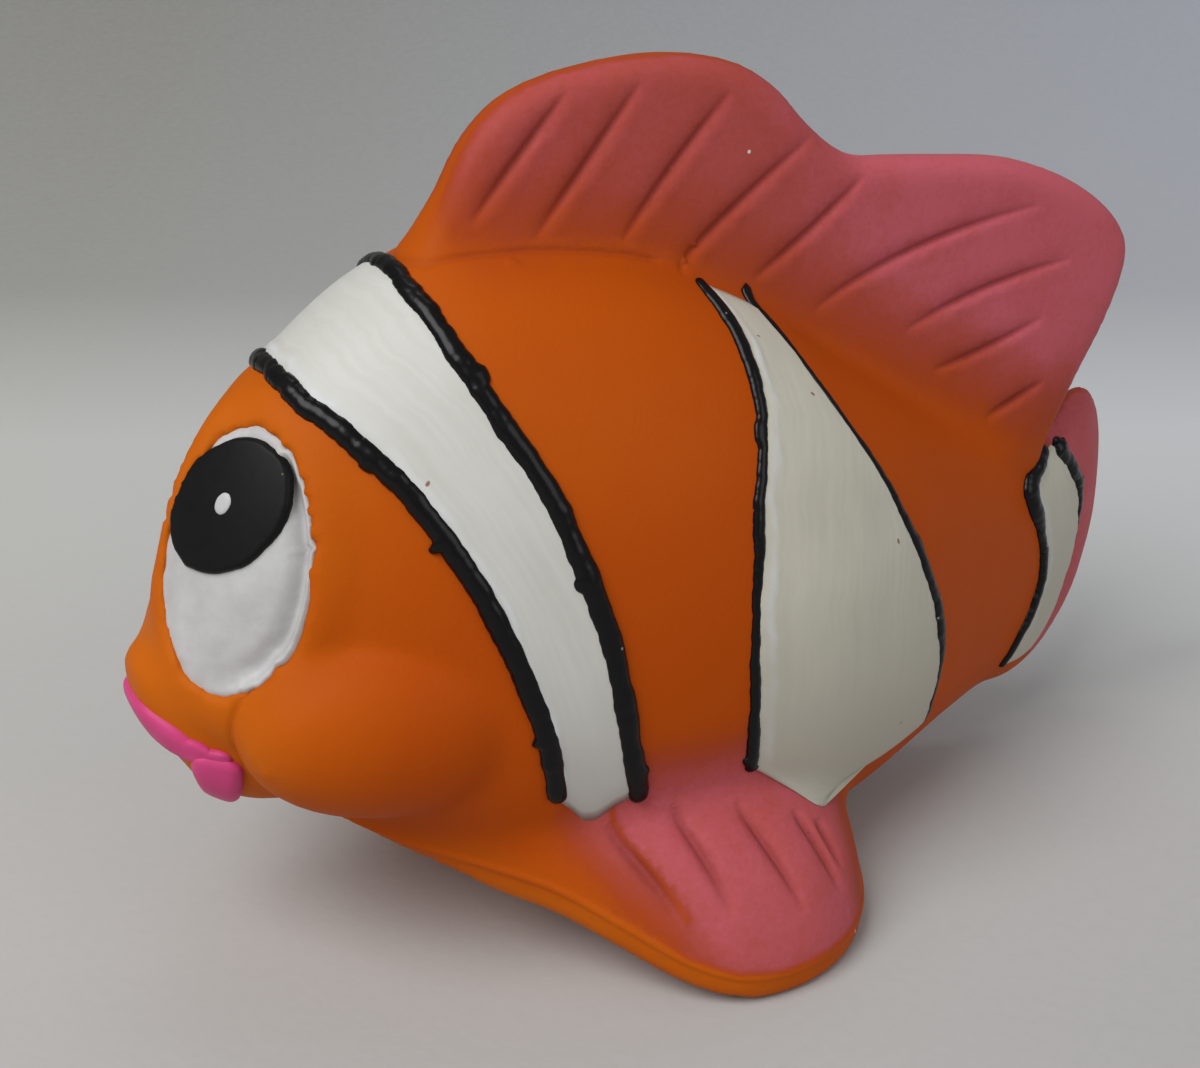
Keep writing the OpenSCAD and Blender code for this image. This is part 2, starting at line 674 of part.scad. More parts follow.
// Lips: share from the middle to a corner, place along the length, drop, share of the width
upper_lip_shares = [
    [0, -0.4945, 1, 1], [0.2, -0.491, 0.9, 0.95], [0.4, -0.481, 0.81, 0.85], [0.6, -0.468, 0.73, 0.65],
    [0.8, -0.455, 0.69, 0.45], [1, -0.441, 0.685, 0.35]
];
lower_lip_shares = [
    [0, -0.447, 1, 0.9], [0.25, -0.447, 0.94, 1], [0.5, -0.4465, 0.88, 1.1], [0.75, -0.445, 0.815, 1.1],
    [1, -0.443, 0.765, 0.85]
];
lip_step_count = 18;
module lip(shares, w) {
    path = [
        for (e = spread(-1, 1, lip_step_count))
            [
                length * read(shares, abs(e), 1),
                (e < 0 ? -1 : 1) * read(shares, abs(e), 2),
                read(shares, abs(e), 3)
            ]
    ];
    color([0.86, 0.2, 0.55]) bead(path, w, lip_h, paint_gap);
}
module lip_upper() {
    lip(upper_lip_shares, upper_lip_w);
}
module lip_lower() {
    lip(lower_lip_shares, lower_lip_w);
}

// Squeaker: a plastic barrel held by its flange and barb, with a brass reed clamped on a block inside
squeaker_x_share = -0.05;
squeaker_x = squeaker_x_share * length;
// The flange is let into the floor, clear of what the fish stands on
flange_rise = 0.5;
barb_out = 0.8;
barb_l = 1.8;
barb_lip = 0.4;
squeaker_facets = 64;
end_wall_top = flange_rise + flange_t;
module squeaker_barrel() {
    barb_z = floor_t + seat_gap;
    barb_r = barrel_d / 2 + barb_out;
    top = flange_rise + barrel_l;
    color([0.93, 0.92, 0.88])
    translate([squeaker_x, 0, 0])
    difference() {
        rotate_extrude($fn = squeaker_facets)
            polygon([
                [0, flange_rise], [flange_d / 2, flange_rise], [flange_d / 2, end_wall_top],
                [barrel_d / 2, end_wall_top], [barrel_d / 2, barb_z], [barb_r, barb_z],
                [barb_r, barb_z + barb_lip], [barrel_d / 2, barb_z + barb_l],
                [barrel_d / 2, top], [0, top]
            ]);
        translate([0, 0, end_wall_top])
            cylinder(d = barrel_bore_d, h = barrel_l, $fn = squeaker_facets);
        translate([0, -air_hole_off, flange_rise - overrun])
            cylinder(d = air_hole_d, h = flange_t + 2 * overrun, $fn = squeaker_facets);
    }
}

// The block stands on the barrel's end wall, with a channel that the reed beats over
block_off = 0.2;
block_foot = 1.2;
channel_side = 0.7;
channel_d = 2;
channel_end = 0.8;
air_hole_side = 0.1;
block_z = end_wall_top;
block_l = block_foot + reed_free_l + reed_held_l;
channel_w = reed_w - 2 * channel_side;
channel_l = block_foot + reed_free_l - channel_end;
air_hole_off = air_hole_d / 2 + air_hole_side;
insert_d = barrel_bore_d - 2 * insert_gap;
reed_clamp_z = block_z + block_l - reed_held_l;
reed_y = reed_gap - block_off;
wedge_y = reed_y + reed_t + reed_gap;
// Slice of a round insert, from one depth to another
module insert(from_z, l, low_y, high_y) {
    intersection() {
        translate([0, 0, from_z])
            cylinder(d = insert_d, h = l, $fn = squeaker_facets);
        translate([-insert_d, low_y, from_z - overrun])
            cube([2 * insert_d, high_y - low_y, l + 2 * overrun]);
    }
}
module reed_block() {
    color([0.85, 0.84, 0.78])
    translate([squeaker_x, 0, 0])
    difference() {
        insert(block_z, block_l, -insert_d, -block_off);
        translate([-channel_w / 2, -block_off - channel_d, block_z - overrun])
            cube([channel_w, channel_d + overrun, channel_l + overrun]);
    }
}
module reed() {
    color([0.8, 0.66, 0.3])
    translate([squeaker_x - reed_w / 2, reed_y, reed_clamp_z - reed_free_l])
        cube([reed_w, reed_t, reed_free_l + reed_held_l]);
}
module reed_wedge() {
    color([0.8, 0.8, 0.74])
    translate([squeaker_x, 0, 0])
        insert(reed_clamp_z, reed_held_l, wedge_y, insert_d);
}

body_shell();
squeaker_barrel();
reed_block();
reed();
reed_wedge();
head_band();
head_line_front();
head_line_rear();
flank_band(-1);  // flank_band_left
flank_band(1);  // flank_band_right
flank_line_front(-1);  // flank_line_front_left
flank_line_front(1);  // flank_line_front_right
flank_line_rear(-1);  // flank_line_rear_left
flank_line_rear(1);  // flank_line_rear_right
tail_band(-1);  // tail_band_left
tail_band(1);  // tail_band_right
tail_line_front(-1);  // tail_line_front_left
tail_line_front(1);  // tail_line_front_right
tail_line_rear(-1);  // tail_line_rear_left
tail_line_rear(1);  // tail_line_rear_right
eye_white(-1);  // eye_white_left
eye_white(1);  // eye_white_right
pupil(-1);  // pupil_left
pupil(1);  // pupil_right
eye_glint(-1);  // eye_glint_left
eye_glint(1);  // eye_glint_right
lip_upper();
lip_lower();
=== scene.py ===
import math
import bmesh
import bpy
import numpy as np
import openvdb as vdb
from mathutils import Matrix, Vector
from mathutils.bvhtree import BVHTree


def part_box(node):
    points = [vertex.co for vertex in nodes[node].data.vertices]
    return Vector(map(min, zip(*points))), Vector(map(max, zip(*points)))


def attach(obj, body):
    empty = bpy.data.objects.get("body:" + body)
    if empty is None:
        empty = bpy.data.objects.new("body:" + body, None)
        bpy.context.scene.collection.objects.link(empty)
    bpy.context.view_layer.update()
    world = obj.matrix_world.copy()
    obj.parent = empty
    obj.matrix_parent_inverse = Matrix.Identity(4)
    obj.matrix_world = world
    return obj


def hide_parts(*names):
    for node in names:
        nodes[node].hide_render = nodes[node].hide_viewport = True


# Squeaky bath fish: a moulded latex body with hand-laid paint, and a reed squeaker in its belly.
# Shapes are worked out in millimetres and turned to metres where a mesh is made.
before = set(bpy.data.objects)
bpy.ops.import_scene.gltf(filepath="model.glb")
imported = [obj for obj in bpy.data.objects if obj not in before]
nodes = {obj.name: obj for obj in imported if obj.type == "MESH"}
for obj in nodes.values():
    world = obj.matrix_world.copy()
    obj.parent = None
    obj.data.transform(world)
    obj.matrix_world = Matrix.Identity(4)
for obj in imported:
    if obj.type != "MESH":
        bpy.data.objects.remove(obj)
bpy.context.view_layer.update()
mm = 0.001
bodyLow, bodyHigh = (np.array(corner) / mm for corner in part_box("body_shell"))
length, finSpan, height = bodyHigh - bodyLow
barrelLow, barrelHigh = (np.array(corner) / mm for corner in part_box("squeaker_barrel"))


# Small helpers
def unit(v):
    return v / np.maximum(np.linalg.norm(v, axis=-1, keepdims=True), 1e-9)


def mix(a, b, t):
    return a + (b - a) * t


def smooth(low, high, value):
    t = np.clip((value - low) / (high - low), 0, 1)
    return t * t * (3 - 2 * t)


def readTable(table, at, column):
    # Smooth curve through one column of a table, by its first column
    table = np.asarray(table, float)
    at = np.asarray(at, float)
    last = len(table) - 1
    i = np.clip(np.searchsorted(table[1:, 0], at), 0, last - 1)
    before, after = np.maximum(np.arange(last + 1) - 1, 0), np.minimum(np.arange(last + 1) + 1, last)
    slope = (table[after, column] - table[before, column]) / (table[after, 0] - table[before, 0])
    run = table[i + 1, 0] - table[i, 0]
    u = np.clip((at - table[i, 0]) / run, 0, 1)
    start = table[i, column] * (2 * u**3 - 3 * u**2 + 1) + slope[i] * run * (u**3 - 2 * u**2 + u)
    return start + table[i + 1, column] * (3 * u**2 - 2 * u**3) + slope[i + 1] * run * (u**3 - u**2)


def wobble(t, seed):
    # Slow waver of a hand, between about -1 and 1, the same on each run
    total = 0
    for k, (pace, share) in enumerate([(1, 0.45), (2.3, 0.3), (5.1, 0.2), (11.7, 0.12)]):
        total = total + share * np.sin(pace * t + seed * (1.7 + 2.9 * k) + k)
    return total


# The body's own surface. Its stations are a place along the length, ridge, belly and widest height as shares
# of the height, half width as a share of half the body width, and swing as a share of the tail's whole swing
body = {
    "width": 44,
    "tailSwing": 8,
    "wall": 2.2,
    "floor": 3.4,
    "cavityEnds": (-0.44, 0.3),
    "upperPower": 2.1,
    "lowerPower": 2.15,
    "voxel": 0.7,
    "stations": [
        (-0.5, 0.383, 0.373, 0.378, 0.035, 0), (-0.497, 0.397, 0.342, 0.37, 0.14, 0),
        (-0.484, 0.41, 0.302, 0.35, 0.23, 0), (-0.472, 0.432, 0.274, 0.335, 0.285, 0),
        (-0.466, 0.458, 0.26, 0.325, 0.31, 0), (-0.457, 0.494, 0.239, 0.32, 0.325, 0),
        (-0.446, 0.535, 0.224, 0.318, 0.355, 0), (-0.42, 0.613, 0.208, 0.32, 0.44, 0),
        (-0.384, 0.683, 0.204, 0.33, 0.57, 0), (-0.341, 0.738, 0.168, 0.346, 0.685, 0),
        (-0.288, 0.787, 0.11, 0.346, 0.81, 0), (-0.227, 0.815, 0.045, 0.346, 0.91, 0),
        (-0.139, 0.81, -0.03, 0.346, 0.985, 0), (-0.052, 0.78, -0.04, 0.346, 1, 0),
        (0.036, 0.718, -0.03, 0.346, 0.955, 0), (0.097, 0.658, 0.004, 0.346, 0.855, 0),
        (0.15, 0.61, 0.028, 0.335, 0.74, 0), (0.202, 0.565, 0.054, 0.32, 0.6, 0),
        (0.255, 0.522, 0.078, 0.31, 0.45, 0), (0.307, 0.482, 0.098, 0.3, 0.315, 0.01),
        (0.351, 0.448, 0.094, 0.29, 0.225, 0.09), (0.393, 0.456, 0.098, 0.295, 0.175, 0.3),
        (0.428, 0.478, 0.116, 0.295, 0.15, 0.52), (0.46, 0.478, 0.152, 0.3, 0.13, 0.72),
        (0.483, 0.452, 0.196, 0.305, 0.1, 0.9), (0.495, 0.415, 0.24, 0.305, 0.07, 0.97),
        (0.5, 0.34, 0.3, 0.305, 0.025, 1),
    ],
}


def station(x):
    s = np.asarray(x, float) / length
    ridge, belly, widest = (height * readTable(body["stations"], s, k) for k in (1, 2, 3))
    half = body["width"] / 2 * readTable(body["stations"], s, 4)
    return ridge, belly, widest, half, body["tailSwing"] * readTable(body["stations"], s, 5)


def over(x, drop):
    # A place on the body: drop runs from 0 at the ridge to 1 at the belly, below 0 on the left flank
    x, drop = np.broadcast_arrays(np.asarray(x, float), np.asarray(drop, float))
    ridge, belly, widest, half, swing = station(x)
    z = mix(ridge, belly, np.abs(drop))
    above = z > widest
    u = np.clip(np.where(above, (z - widest) / (ridge - widest), (widest - z) / (widest - belly)), 0, 1)
    power = np.where(above, body["upperPower"], body["lowerPower"])
    y = half * (1 - u**power) ** (1 / power)
    return np.stack([x, swing + np.where(drop < 0, -1, 1) * y, z], -1)


def outward(x, drop):
    probe = 0.002
    alongX = over(x + probe * length / 4, drop) - over(x - probe * length / 4, drop)
    alongDrop = over(x, np.minimum(drop + probe, 1)) - over(x, np.maximum(drop - probe, -1))
    n = unit(np.cross(alongX, alongDrop))
    middle = np.stack(np.broadcast_arrays(x, station(x)[4], station(x)[2]), -1)
    flip = ((over(x, drop) - middle) * n).sum(-1, keepdims=True) < 0
    return np.where(flip, -n, n)


# Back fin: share along it, then places on its edge and its root as shares of the length and the height
backFin = {
    "rootThickness": 10,
    "edgeThickness": 4.8,
    "rootShare": 0.7,
    "thinPower": 1.6,
    "blend": 1.5,
    "outline": [
        (0, -0.266, 0.8, -0.262, 0.775), (0.04, -0.244, 0.843, -0.243, 0.78),
        (0.08, -0.227, 0.877, -0.225, 0.78), (0.12, -0.213, 0.914, -0.208, 0.78),
        (0.16, -0.196, 0.944, -0.19, 0.78), (0.2, -0.174, 0.968, -0.17, 0.775),
        (0.25, -0.139, 0.986, -0.142, 0.775), (0.31, -0.091, 0.997, -0.105, 0.765),
        (0.37, -0.047, 1, -0.07, 0.75), (0.43, -0.003, 0.993, -0.035, 0.73),
        (0.48, 0.033, 0.978, -0.005, 0.705), (0.53, 0.066, 0.948, 0.025, 0.68),
        (0.57, 0.091, 0.911, 0.05, 0.655), (0.61, 0.119, 0.877, 0.075, 0.635),
        (0.65, 0.145, 0.859, 0.1, 0.615), (0.69, 0.176, 0.855, 0.125, 0.595),
        (0.74, 0.222, 0.849, 0.155, 0.57), (0.8, 0.297, 0.836, 0.19, 0.54),
        (0.84, 0.351, 0.812, 0.215, 0.52), (0.875, 0.395, 0.78, 0.235, 0.505),
        (0.905, 0.428, 0.743, 0.255, 0.49), (0.925, 0.443, 0.708, 0.268, 0.48),
        (0.94, 0.441, 0.67, 0.28, 0.47), (0.955, 0.425, 0.61, 0.295, 0.455),
        (0.97, 0.404, 0.556, 0.31, 0.445), (0.985, 0.384, 0.5, 0.33, 0.43),
        (1, 0.362, 0.435, 0.35, 0.42),
    ],
    # Each ray: places from its outer to its inner end, as shares of the length and the height
    "rays": [
        ((-0.125, 0.975), (-0.17, 0.91), (-0.215, 0.84)), ((-0.065, 0.975), (-0.115, 0.895), (-0.165, 0.82)),
        ((0.015, 0.955), (-0.04, 0.88), (-0.09, 0.805)), ((0.095, 0.895), (0.01, 0.82), (-0.045, 0.765)),
        ((0.145, 0.84), (0.09, 0.785), (0.03, 0.74)), ((0.33, 0.775), (0.2, 0.745), (0.09, 0.69)),
        ((0.37, 0.7), (0.27, 0.68), (0.185, 0.645)), ((0.34, 0.63), (0.275, 0.605), (0.215, 0.59)),
        ((0.345, 0.545), (0.31, 0.53), (0.275, 0.515)),
    ],
}


def backFinPoint(u, v, side):
    u, v = np.broadcast_arrays(np.asarray(u, float), np.asarray(v, float))
    ends = [readTable(backFin["outline"], u, k) for k in (1, 2, 3, 4)]
    edge = np.stack([length * ends[0], height * ends[1]], -1)
    root = np.stack([length * ends[2], height * ends[3]], -1)
    p = mix(root, edge, v[..., None])
    rootHalf = station(root[..., 0])[3]
    rootT = np.minimum(backFin["rootThickness"], backFin["rootShare"] * 2 * rootHalf)
    edgeT = backFin["edgeThickness"]
    t = mix(rootT, np.minimum(rootT, edgeT), 1 - (1 - v) ** backFin["thinPower"]) / 2
    near = np.clip(np.linalg.norm(edge - root, axis=-1) * (1 - v) / (edgeT / 2), 0, 1)
    return np.stack([p[..., 0], side * t * np.sqrt(1 - (1 - near) ** 2), p[..., 1]], -1)


# Side fin: share along it, then its rim and its root as shares of the length, half the span and the height
sideFin = {
    "rimHeight": 2.7,
    "rootShare": 0.6,
    "rootRimShare": 0.9,
    "knee": (0.6, 0.78, 0.8),
    "growShare": 0.33,
    "leastShare": 0.15,
    "tuckShare": 0.18,
    "blend": 1.8,
    "outline": [
        (0, -0.362, -0.13, 0.188, -0.345, 0.195), (0.1, -0.335, -0.27, 0.174, -0.32, 0.195),
        (0.2, -0.298, -0.39, 0.158, -0.29, 0.205), (0.3, -0.255, -0.51, 0.142, -0.25, 0.22),
        (0.4, -0.215, -0.64, 0.126, -0.21, 0.23), (0.5, -0.175, -0.78, 0.094, -0.17, 0.235),
        (0.6, -0.135, -0.91, 0.06, -0.13, 0.235), (0.68, -0.098, -0.985, 0.042, -0.09, 0.235),
        (0.75, -0.058, -1, 0.034, -0.05, 0.23), (0.82, -0.014, -0.97, 0.033, -0.015, 0.22),
        (0.88, 0.025, -0.89, 0.033, 0.02, 0.2), (0.93, 0.055, -0.77, 0.033, 0.045, 0.175),
        (0.97, 0.073, -0.64, 0.042, 0.065, 0.15), (1, 0.088, -0.48, 0.055, 0.085, 0.12),
    ],
    # Each ray: places from the root to the rim, as shares of the length and half the span
    "rays": [
        ((-0.175, 0.615), (-0.155, 0.745), (-0.135, 0.87)),
        ((-0.118, 0.645), (-0.107, 0.77), (-0.095, 0.915)),
        ((-0.06, 0.685), (-0.047, 0.805), (-0.03, 0.925)), ((-0.01, 0.71), (0.002, 0.785), (0.015, 0.87)),
        ((0.012, 0.72), (0.018, 0.765), (0.025, 0.81)),
    ],
}


def sideFinRim(u):
    h = sideFin["rimHeight"] * np.clip(u / sideFin["growShare"], sideFin["leastShare"], 1)
    x, y, z = (readTable(sideFin["outline"], u, k) for k in (1, 2, 3))
    return np.stack([length * x, finSpan / 2 * y, np.maximum(height * z, h)], -1), h


def sideFinRoot(u):
    x, z = (readTable(sideFin["outline"], u, k) for k in (4, 5))
    inner = -sideFin["rootShare"] * body["width"] / 2
    y = np.maximum(inner, sideFin["rootRimShare"] * sideFinRim(u)[0][..., 1])
    return np.stack([length * x, y, height * z], -1)


def sideFinTop(u, v):
    u, v = np.broadcast_arrays(np.asarray(u, float), np.asarray(v, float))
    a, b = sideFinRoot(u), sideFinRim(u)[0]
    x, y, z = sideFin["knee"]
    knee = [mix(a[..., 0], b[..., 0], x), mix(a[..., 1], b[..., 1], y), mix(b[..., 2], a[..., 2], z)]
    knee = np.stack(knee, -1)
    v = v[..., None]
    return a * (1 - v) ** 2 + knee * 2 * v * (1 - v) + b * v**2


# The eyeball is sunk in the head, turned by its yaw from the nose, its pitch upward and its roll; its place
# is in shares of the length, the body's width and the height. It settles into the cheek, its enamel lies in
# a bed narrower than itself, and on the right side the ball dips toward the nose and the pupil moves out
eye = {
    "width": 17.5,
    "height": 28.5,
    "bulge": 1.9,
    "depth": 2.5,
    "place": (-0.416, -0.1354, 0.5185),
    "yaw": 39,
    "pitch": 21,
    "roll": -3,
    "whiteShare": 0.84,
    "blend": 3,
    "bed": 0.3,
    "settle": 0.9,
    "rightDip": 1.2,
    "rightShift": 2.6,
}
yaw, pitch, roll = (math.radians(eye[key]) for key in ("yaw", "pitch", "roll"))
eyeOut = np.array([-math.cos(yaw) * math.cos(pitch), -math.sin(yaw) * math.cos(pitch), math.sin(pitch)])
eyeLevel = unit(np.cross(eyeOut, [0, 0, 1]))
eyeRise = np.cross(eyeLevel, eyeOut)
eyeAcross = eyeLevel * math.cos(roll) - eyeRise * math.sin(roll)
eyeUp = eyeRise * math.cos(roll) + eyeLevel * math.sin(roll)
eyeSink = eye["depth"] - eye["bulge"]
bodySize = [length, body["width"], height]
eyeCentre = np.array(eye["place"]) * bodySize
cheek = {"place": (-0.3, -0.24, 0.335), "size": (0.142, 0.205, 0.122), "blend": 0.3}
cheekPad = {"place": (-0.418, -0.17, 0.355), "size": (0.035, 0.07, 0.06), "blend": 1.9}
mirrorY = np.array([1, -1, 1])


# Closed meshes
def loftMesh(rings):
    # Points and triangles of a closed solid through equal rings
    rings = np.asarray(rings, float)
    count, around = rings.shape[:2]
    i, j = np.meshgrid(np.arange(count - 1), np.arange(around), indexing="ij")
    k = (j + 1) % around
    a, b, c, d = i * around + j, i * around + k, (i + 1) * around + k, (i + 1) * around + j
    sides = np.stack([a, b, c, a, c, d], -1).reshape(-1, 3)
    j = np.arange(around)
    k = (j + 1) % around
    first = np.stack([k, j, np.full(around, count * around)], -1)
    last = np.stack([j, k, np.full(around, around + 1)], -1) + (count - 1) * around
    points = np.concatenate([rings.reshape(-1, 3), rings[[0, -1]].mean(1)])
    faces = np.concatenate([sides, first, last])
    corners = points[faces]
    volume = (corners[:, 0] * np.cross(corners[:, 1], corners[:, 2])).sum()
    return points, faces if volume > 0 else faces[:, ::-1]


def addObject(name, data):
    item = bpy.data.objects.new(name, data)
    bpy.context.scene.collection.objects.link(item)
    return item


def makeObject(name, points, faces, material):
    mesh = bpy.data.meshes.new(name)
    mesh.from_pydata((np.asarray(points) * mm).tolist(), [], np.asarray(faces).tolist())
    mesh.polygons.foreach_set("use_smooth", np.ones(len(mesh.polygons), bool))
    mesh.materials.append(material)
    mesh.update()
    return addObject(name, mesh)


def setAttribute(piece, name, values):
    attribute = piece.data.attributes.new(name, "FLOAT", "POINT")
    attribute.data.foreach_set("value", np.asarray(values, np.float32))


def finishPiece(piece, node):
    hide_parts(node)
    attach(piece, "fish")


# Materials
def hexColour(text):
    channels = [int(text[k:k + 2], 16) / 255 for k in (0, 2, 4)]
    linear = [c / 12.92 if c <= 0.04045 else ((c + 0.055) / 1.055) ** 2.4 for c in channels]
    return (*linear, 1)


def addNode(tree, kind, settings={}):
    # A key that is a socket's name or number sets that socket, or links to it a given output or the first
    # output of a given node; any other key is a property of the node
    node = tree.nodes.new(kind)
    for key, value in settings.items():
        if isinstance(value, bpy.types.Node):
            value = value.outputs[0]
        if not isinstance(key, int) and key not in node.inputs:
            setattr(node, key, value)
        elif isinstance(value, bpy.types.NodeSocket):
            tree.links.new(value, node.inputs[key])
        else:
            node.inputs[key].default_value = value
    return node


def newMaterial(name):
    material = bpy.data.materials.new(name)
    material.use_nodes = True
    tree = material.node_tree
    tree.nodes.clear()
    place = addNode(tree, "ShaderNodeTexCoord").outputs["Object"]
    return material, tree, place


def scaleOf(size):
    # A noise at this scale has lumps about so many millimetres across
    return 1 / (size * mm)


def layColours(tree, colour, *coats):
    # Colours laid one over another, each by its own mask
    for mask, over in coats:
        colour, over = (hexColour(item) if isinstance(item, str) else item for item in (colour, over))
        colour = addNode(tree, "ShaderNodeMix", {"data_type": "RGBA", 0: mask, 6: colour, 7: over}).outputs[2]
    return colour


def specks(tree, place, spacing, size):
    # Rare round specks: 1 in a speck, 0 elsewhere
    cells = addNode(tree, "ShaderNodeTexVoronoi", {"Vector": place, "Scale": scaleOf(spacing)})
    return addNode(tree, "ShaderNodeMapRange", {0: cells, 1: size / spacing, 2: 0.7 * size / spacing})


def setColours(node, steps):
    # A run of colours at given shares
    elements = node.color_ramp.elements
    while len(elements) < len(steps):
        elements.new(0.5)
    for element, (at, colour) in zip(elements, steps):
        element.position, element.color = at, hexColour(colour)
    return node


def finishMaterial(tree, settings, height, depth):
    # The height is bumped by so many millimetres
    bump = addNode(tree, "ShaderNodeBump", {"Distance": depth * mm, "Strength": 1, "Height": height})
    shader = addNode(tree, "ShaderNodeBsdfPrincipled", {**settings, "Normal": bump})
    addNode(tree, "ShaderNodeOutputMaterial", {"Surface": shader})


def mouldedLatex():
    # Natural latex cast in a plaster mould: matte and even, with pink airbrushed over the fins
    material, tree, place = newMaterial("moulded_latex")
    apart = addNode(tree, "ShaderNodeSeparateXYZ", {0: place}).outputs
    # Painted light: lighter and yellower toward the nose, where the face takes the light, darker toward the
    # tail
    alongBody = addNode(tree, "ShaderNodeMapRange", {0: apart[0], 1: -0.056, 2: 0.056})
    patches = addNode(tree, "ShaderNodeTexNoise", {"Vector": place, "Scale": scaleOf(16), "Detail": 3})
    warmth = addNode(tree, "ShaderNodeMath", {"operation": "MULTIPLY_ADD", 0: patches, 1: 0.3, 2: -0.15})
    # Painted light from the floor: lighter and yellower on the lowest parts, below about 16 mm
    rim = addNode(tree, "ShaderNodeMapRange", {0: apart[2], 1: 0.016, 2: 0.009})
    warmth = addNode(tree, "ShaderNodeMath", {"operation": "MULTIPLY_ADD", 0: rim, 1: -0.22, 2: warmth})
    # Painted shade: darker and redder on the lower flank, above the feet and behind the face
    lower = 1
    for k, start, end in ((2, 0.05, 0.028), (2, 0.008, 0.018), (0, -0.05, -0.036)):
        part = addNode(tree, "ShaderNodeMapRange", {0: apart[k], 1: start, 2: end})
        lower = addNode(tree, "ShaderNodeMath", {"operation": "MULTIPLY", 0: lower, 1: part})
    warmth = addNode(tree, "ShaderNodeMath", {"operation": "MULTIPLY_ADD", 0: lower, 1: 0.45, 2: warmth})
    warmth = addNode(tree, "ShaderNodeMath", {"operation": "ADD", "use_clamp": True, 0: alongBody, 1: warmth})
    base = setColours(addNode(tree, "ShaderNodeValToRGB", {0: warmth}),
                      [(0.0, "C6630B"), (0.22, "B95204"), (0.5, "B34902"), (0.85, "B24800")])
    spray = addNode(tree, "ShaderNodeAttribute", {"attribute_name": "airbrush"}).outputs["Fac"]
    uneven = -0.3
    for size, detail, roughness in ((0.8, 4, 0.7), (6, 3, 0.5)):
        drops = addNode(tree, "ShaderNodeTexNoise",
                        {"Vector": place, "Scale": scaleOf(size), "Detail": detail, "Roughness": roughness})
        uneven = addNode(tree, "ShaderNodeMath", {"operation": "MULTIPLY_ADD", 0: drops, 1: 0.3, 2: uneven})
    near = addNode(tree, "ShaderNodeMapRange", {0: spray, 1: 0, 2: 0.3})
    layer = addNode(tree, "ShaderNodeMath",
                    {"operation": "MULTIPLY_ADD", "use_clamp": True, 0: uneven, 1: near, 2: spray})
    pink = setColours(addNode(tree, "ShaderNodeValToRGB", {0: layer}),
                      [(0.0, "AE4706"), (0.3, "A84318"), (0.55, "A64432"), (0.8, "B04E4C"), (1.0, "BC5964")])
    # Painted shade in the pressed grooves: darker brown-red where they are deepest
    grooveShade = addNode(tree, "ShaderNodeAttribute", {"attribute_name": "grooveShade"}).outputs["Fac"]
    dark = addNode(tree, "ShaderNodeMath", {"operation": "MULTIPLY", 0: grooveShade, 1: 0.4})
    colour = layColours(tree, base, (addNode(tree, "ShaderNodeMapRange", {0: layer, 1: 0, 2: 0.3}), pink),
                        (dark, "6E2416"), (specks(tree, place, 9, 0.22), "D8D6CF"))
    rough = addNode(tree, "ShaderNodeTexNoise", {"Vector": place, "Scale": scaleOf(3), "Detail": 3})
    rough = addNode(tree, "ShaderNodeMapRange", {0: rough, "To Min": 0.5, "To Max": 0.62})
    grain = addNode(tree, "ShaderNodeTexNoise",
                    {"Vector": place, "Scale": scaleOf(0.45), "Detail": 4, "Roughness": 0.6})
    finishMaterial(tree, {"Base Color": colour, "IOR": 1.5, "Specular IOR Level": 0.09, "Roughness": rough},
                   grain, 0.035)
    return material


def brushedPaint(name, light, dark, low):
    # Thick acrylic laid on with a flat brush: matte, with faint streaks along the stroke and a few scuffs,
    # greyer toward its lower end in painted shade, and whiter along the brush's ridge in a painted highlight
    material, tree, place = newMaterial(name)
    stroke = addNode(tree, "ShaderNodeUVMap")
    stroke = addNode(tree, "ShaderNodeMapping", {"Scale": (0.06, 1, 1), "Vector": stroke})
    streaks = addNode(tree, "ShaderNodeTexNoise", {"Vector": stroke, "Scale": 1.1})
    patches = addNode(tree, "ShaderNodeTexNoise", {"Vector": place, "Scale": scaleOf(9), "Detail": 3})
    both = addNode(tree, "ShaderNodeMath", {"operation": "ADD", 0: streaks, 1: patches})
    apart = addNode(tree, "ShaderNodeSeparateXYZ", {0: place}).outputs
    # Painted highlight: bluish white along the ridge that the brush left
    ridge = addNode(tree, "ShaderNodeAttribute", {"attribute_name": "ridge"}).outputs["Fac"]
    ridge = addNode(tree, "ShaderNodeMath", {"operation": "MULTIPLY", "use_clamp": True, 0: ridge, 1: 0.7})
    scuffed = addNode(tree, "ShaderNodeMapping",
                      {"Scale": (1, 2.2, 0.7), "Rotation": (0.3, 0.2, 0.6), "Vector": place})
    # Painted shade: the low shade comes in from 36 mm down and is full below 18 mm
    colour = layColours(tree, dark, (addNode(tree, "ShaderNodeMapRange", {0: both, 1: 0.75, 2: 1.25}), light),
                        (addNode(tree, "ShaderNodeMapRange", {0: apart[2], 1: 0.036, 2: 0.018}), low),
                        (ridge, "D6D9E0"), (specks(tree, scuffed, 5.5, 0.3), "8A6E58"))
    finishMaterial(tree, {"Base Color": colour, "IOR": 1.5, "Roughness": 0.5, "Specular IOR Level": 0.25},
                   streaks, 0.003)
    return material


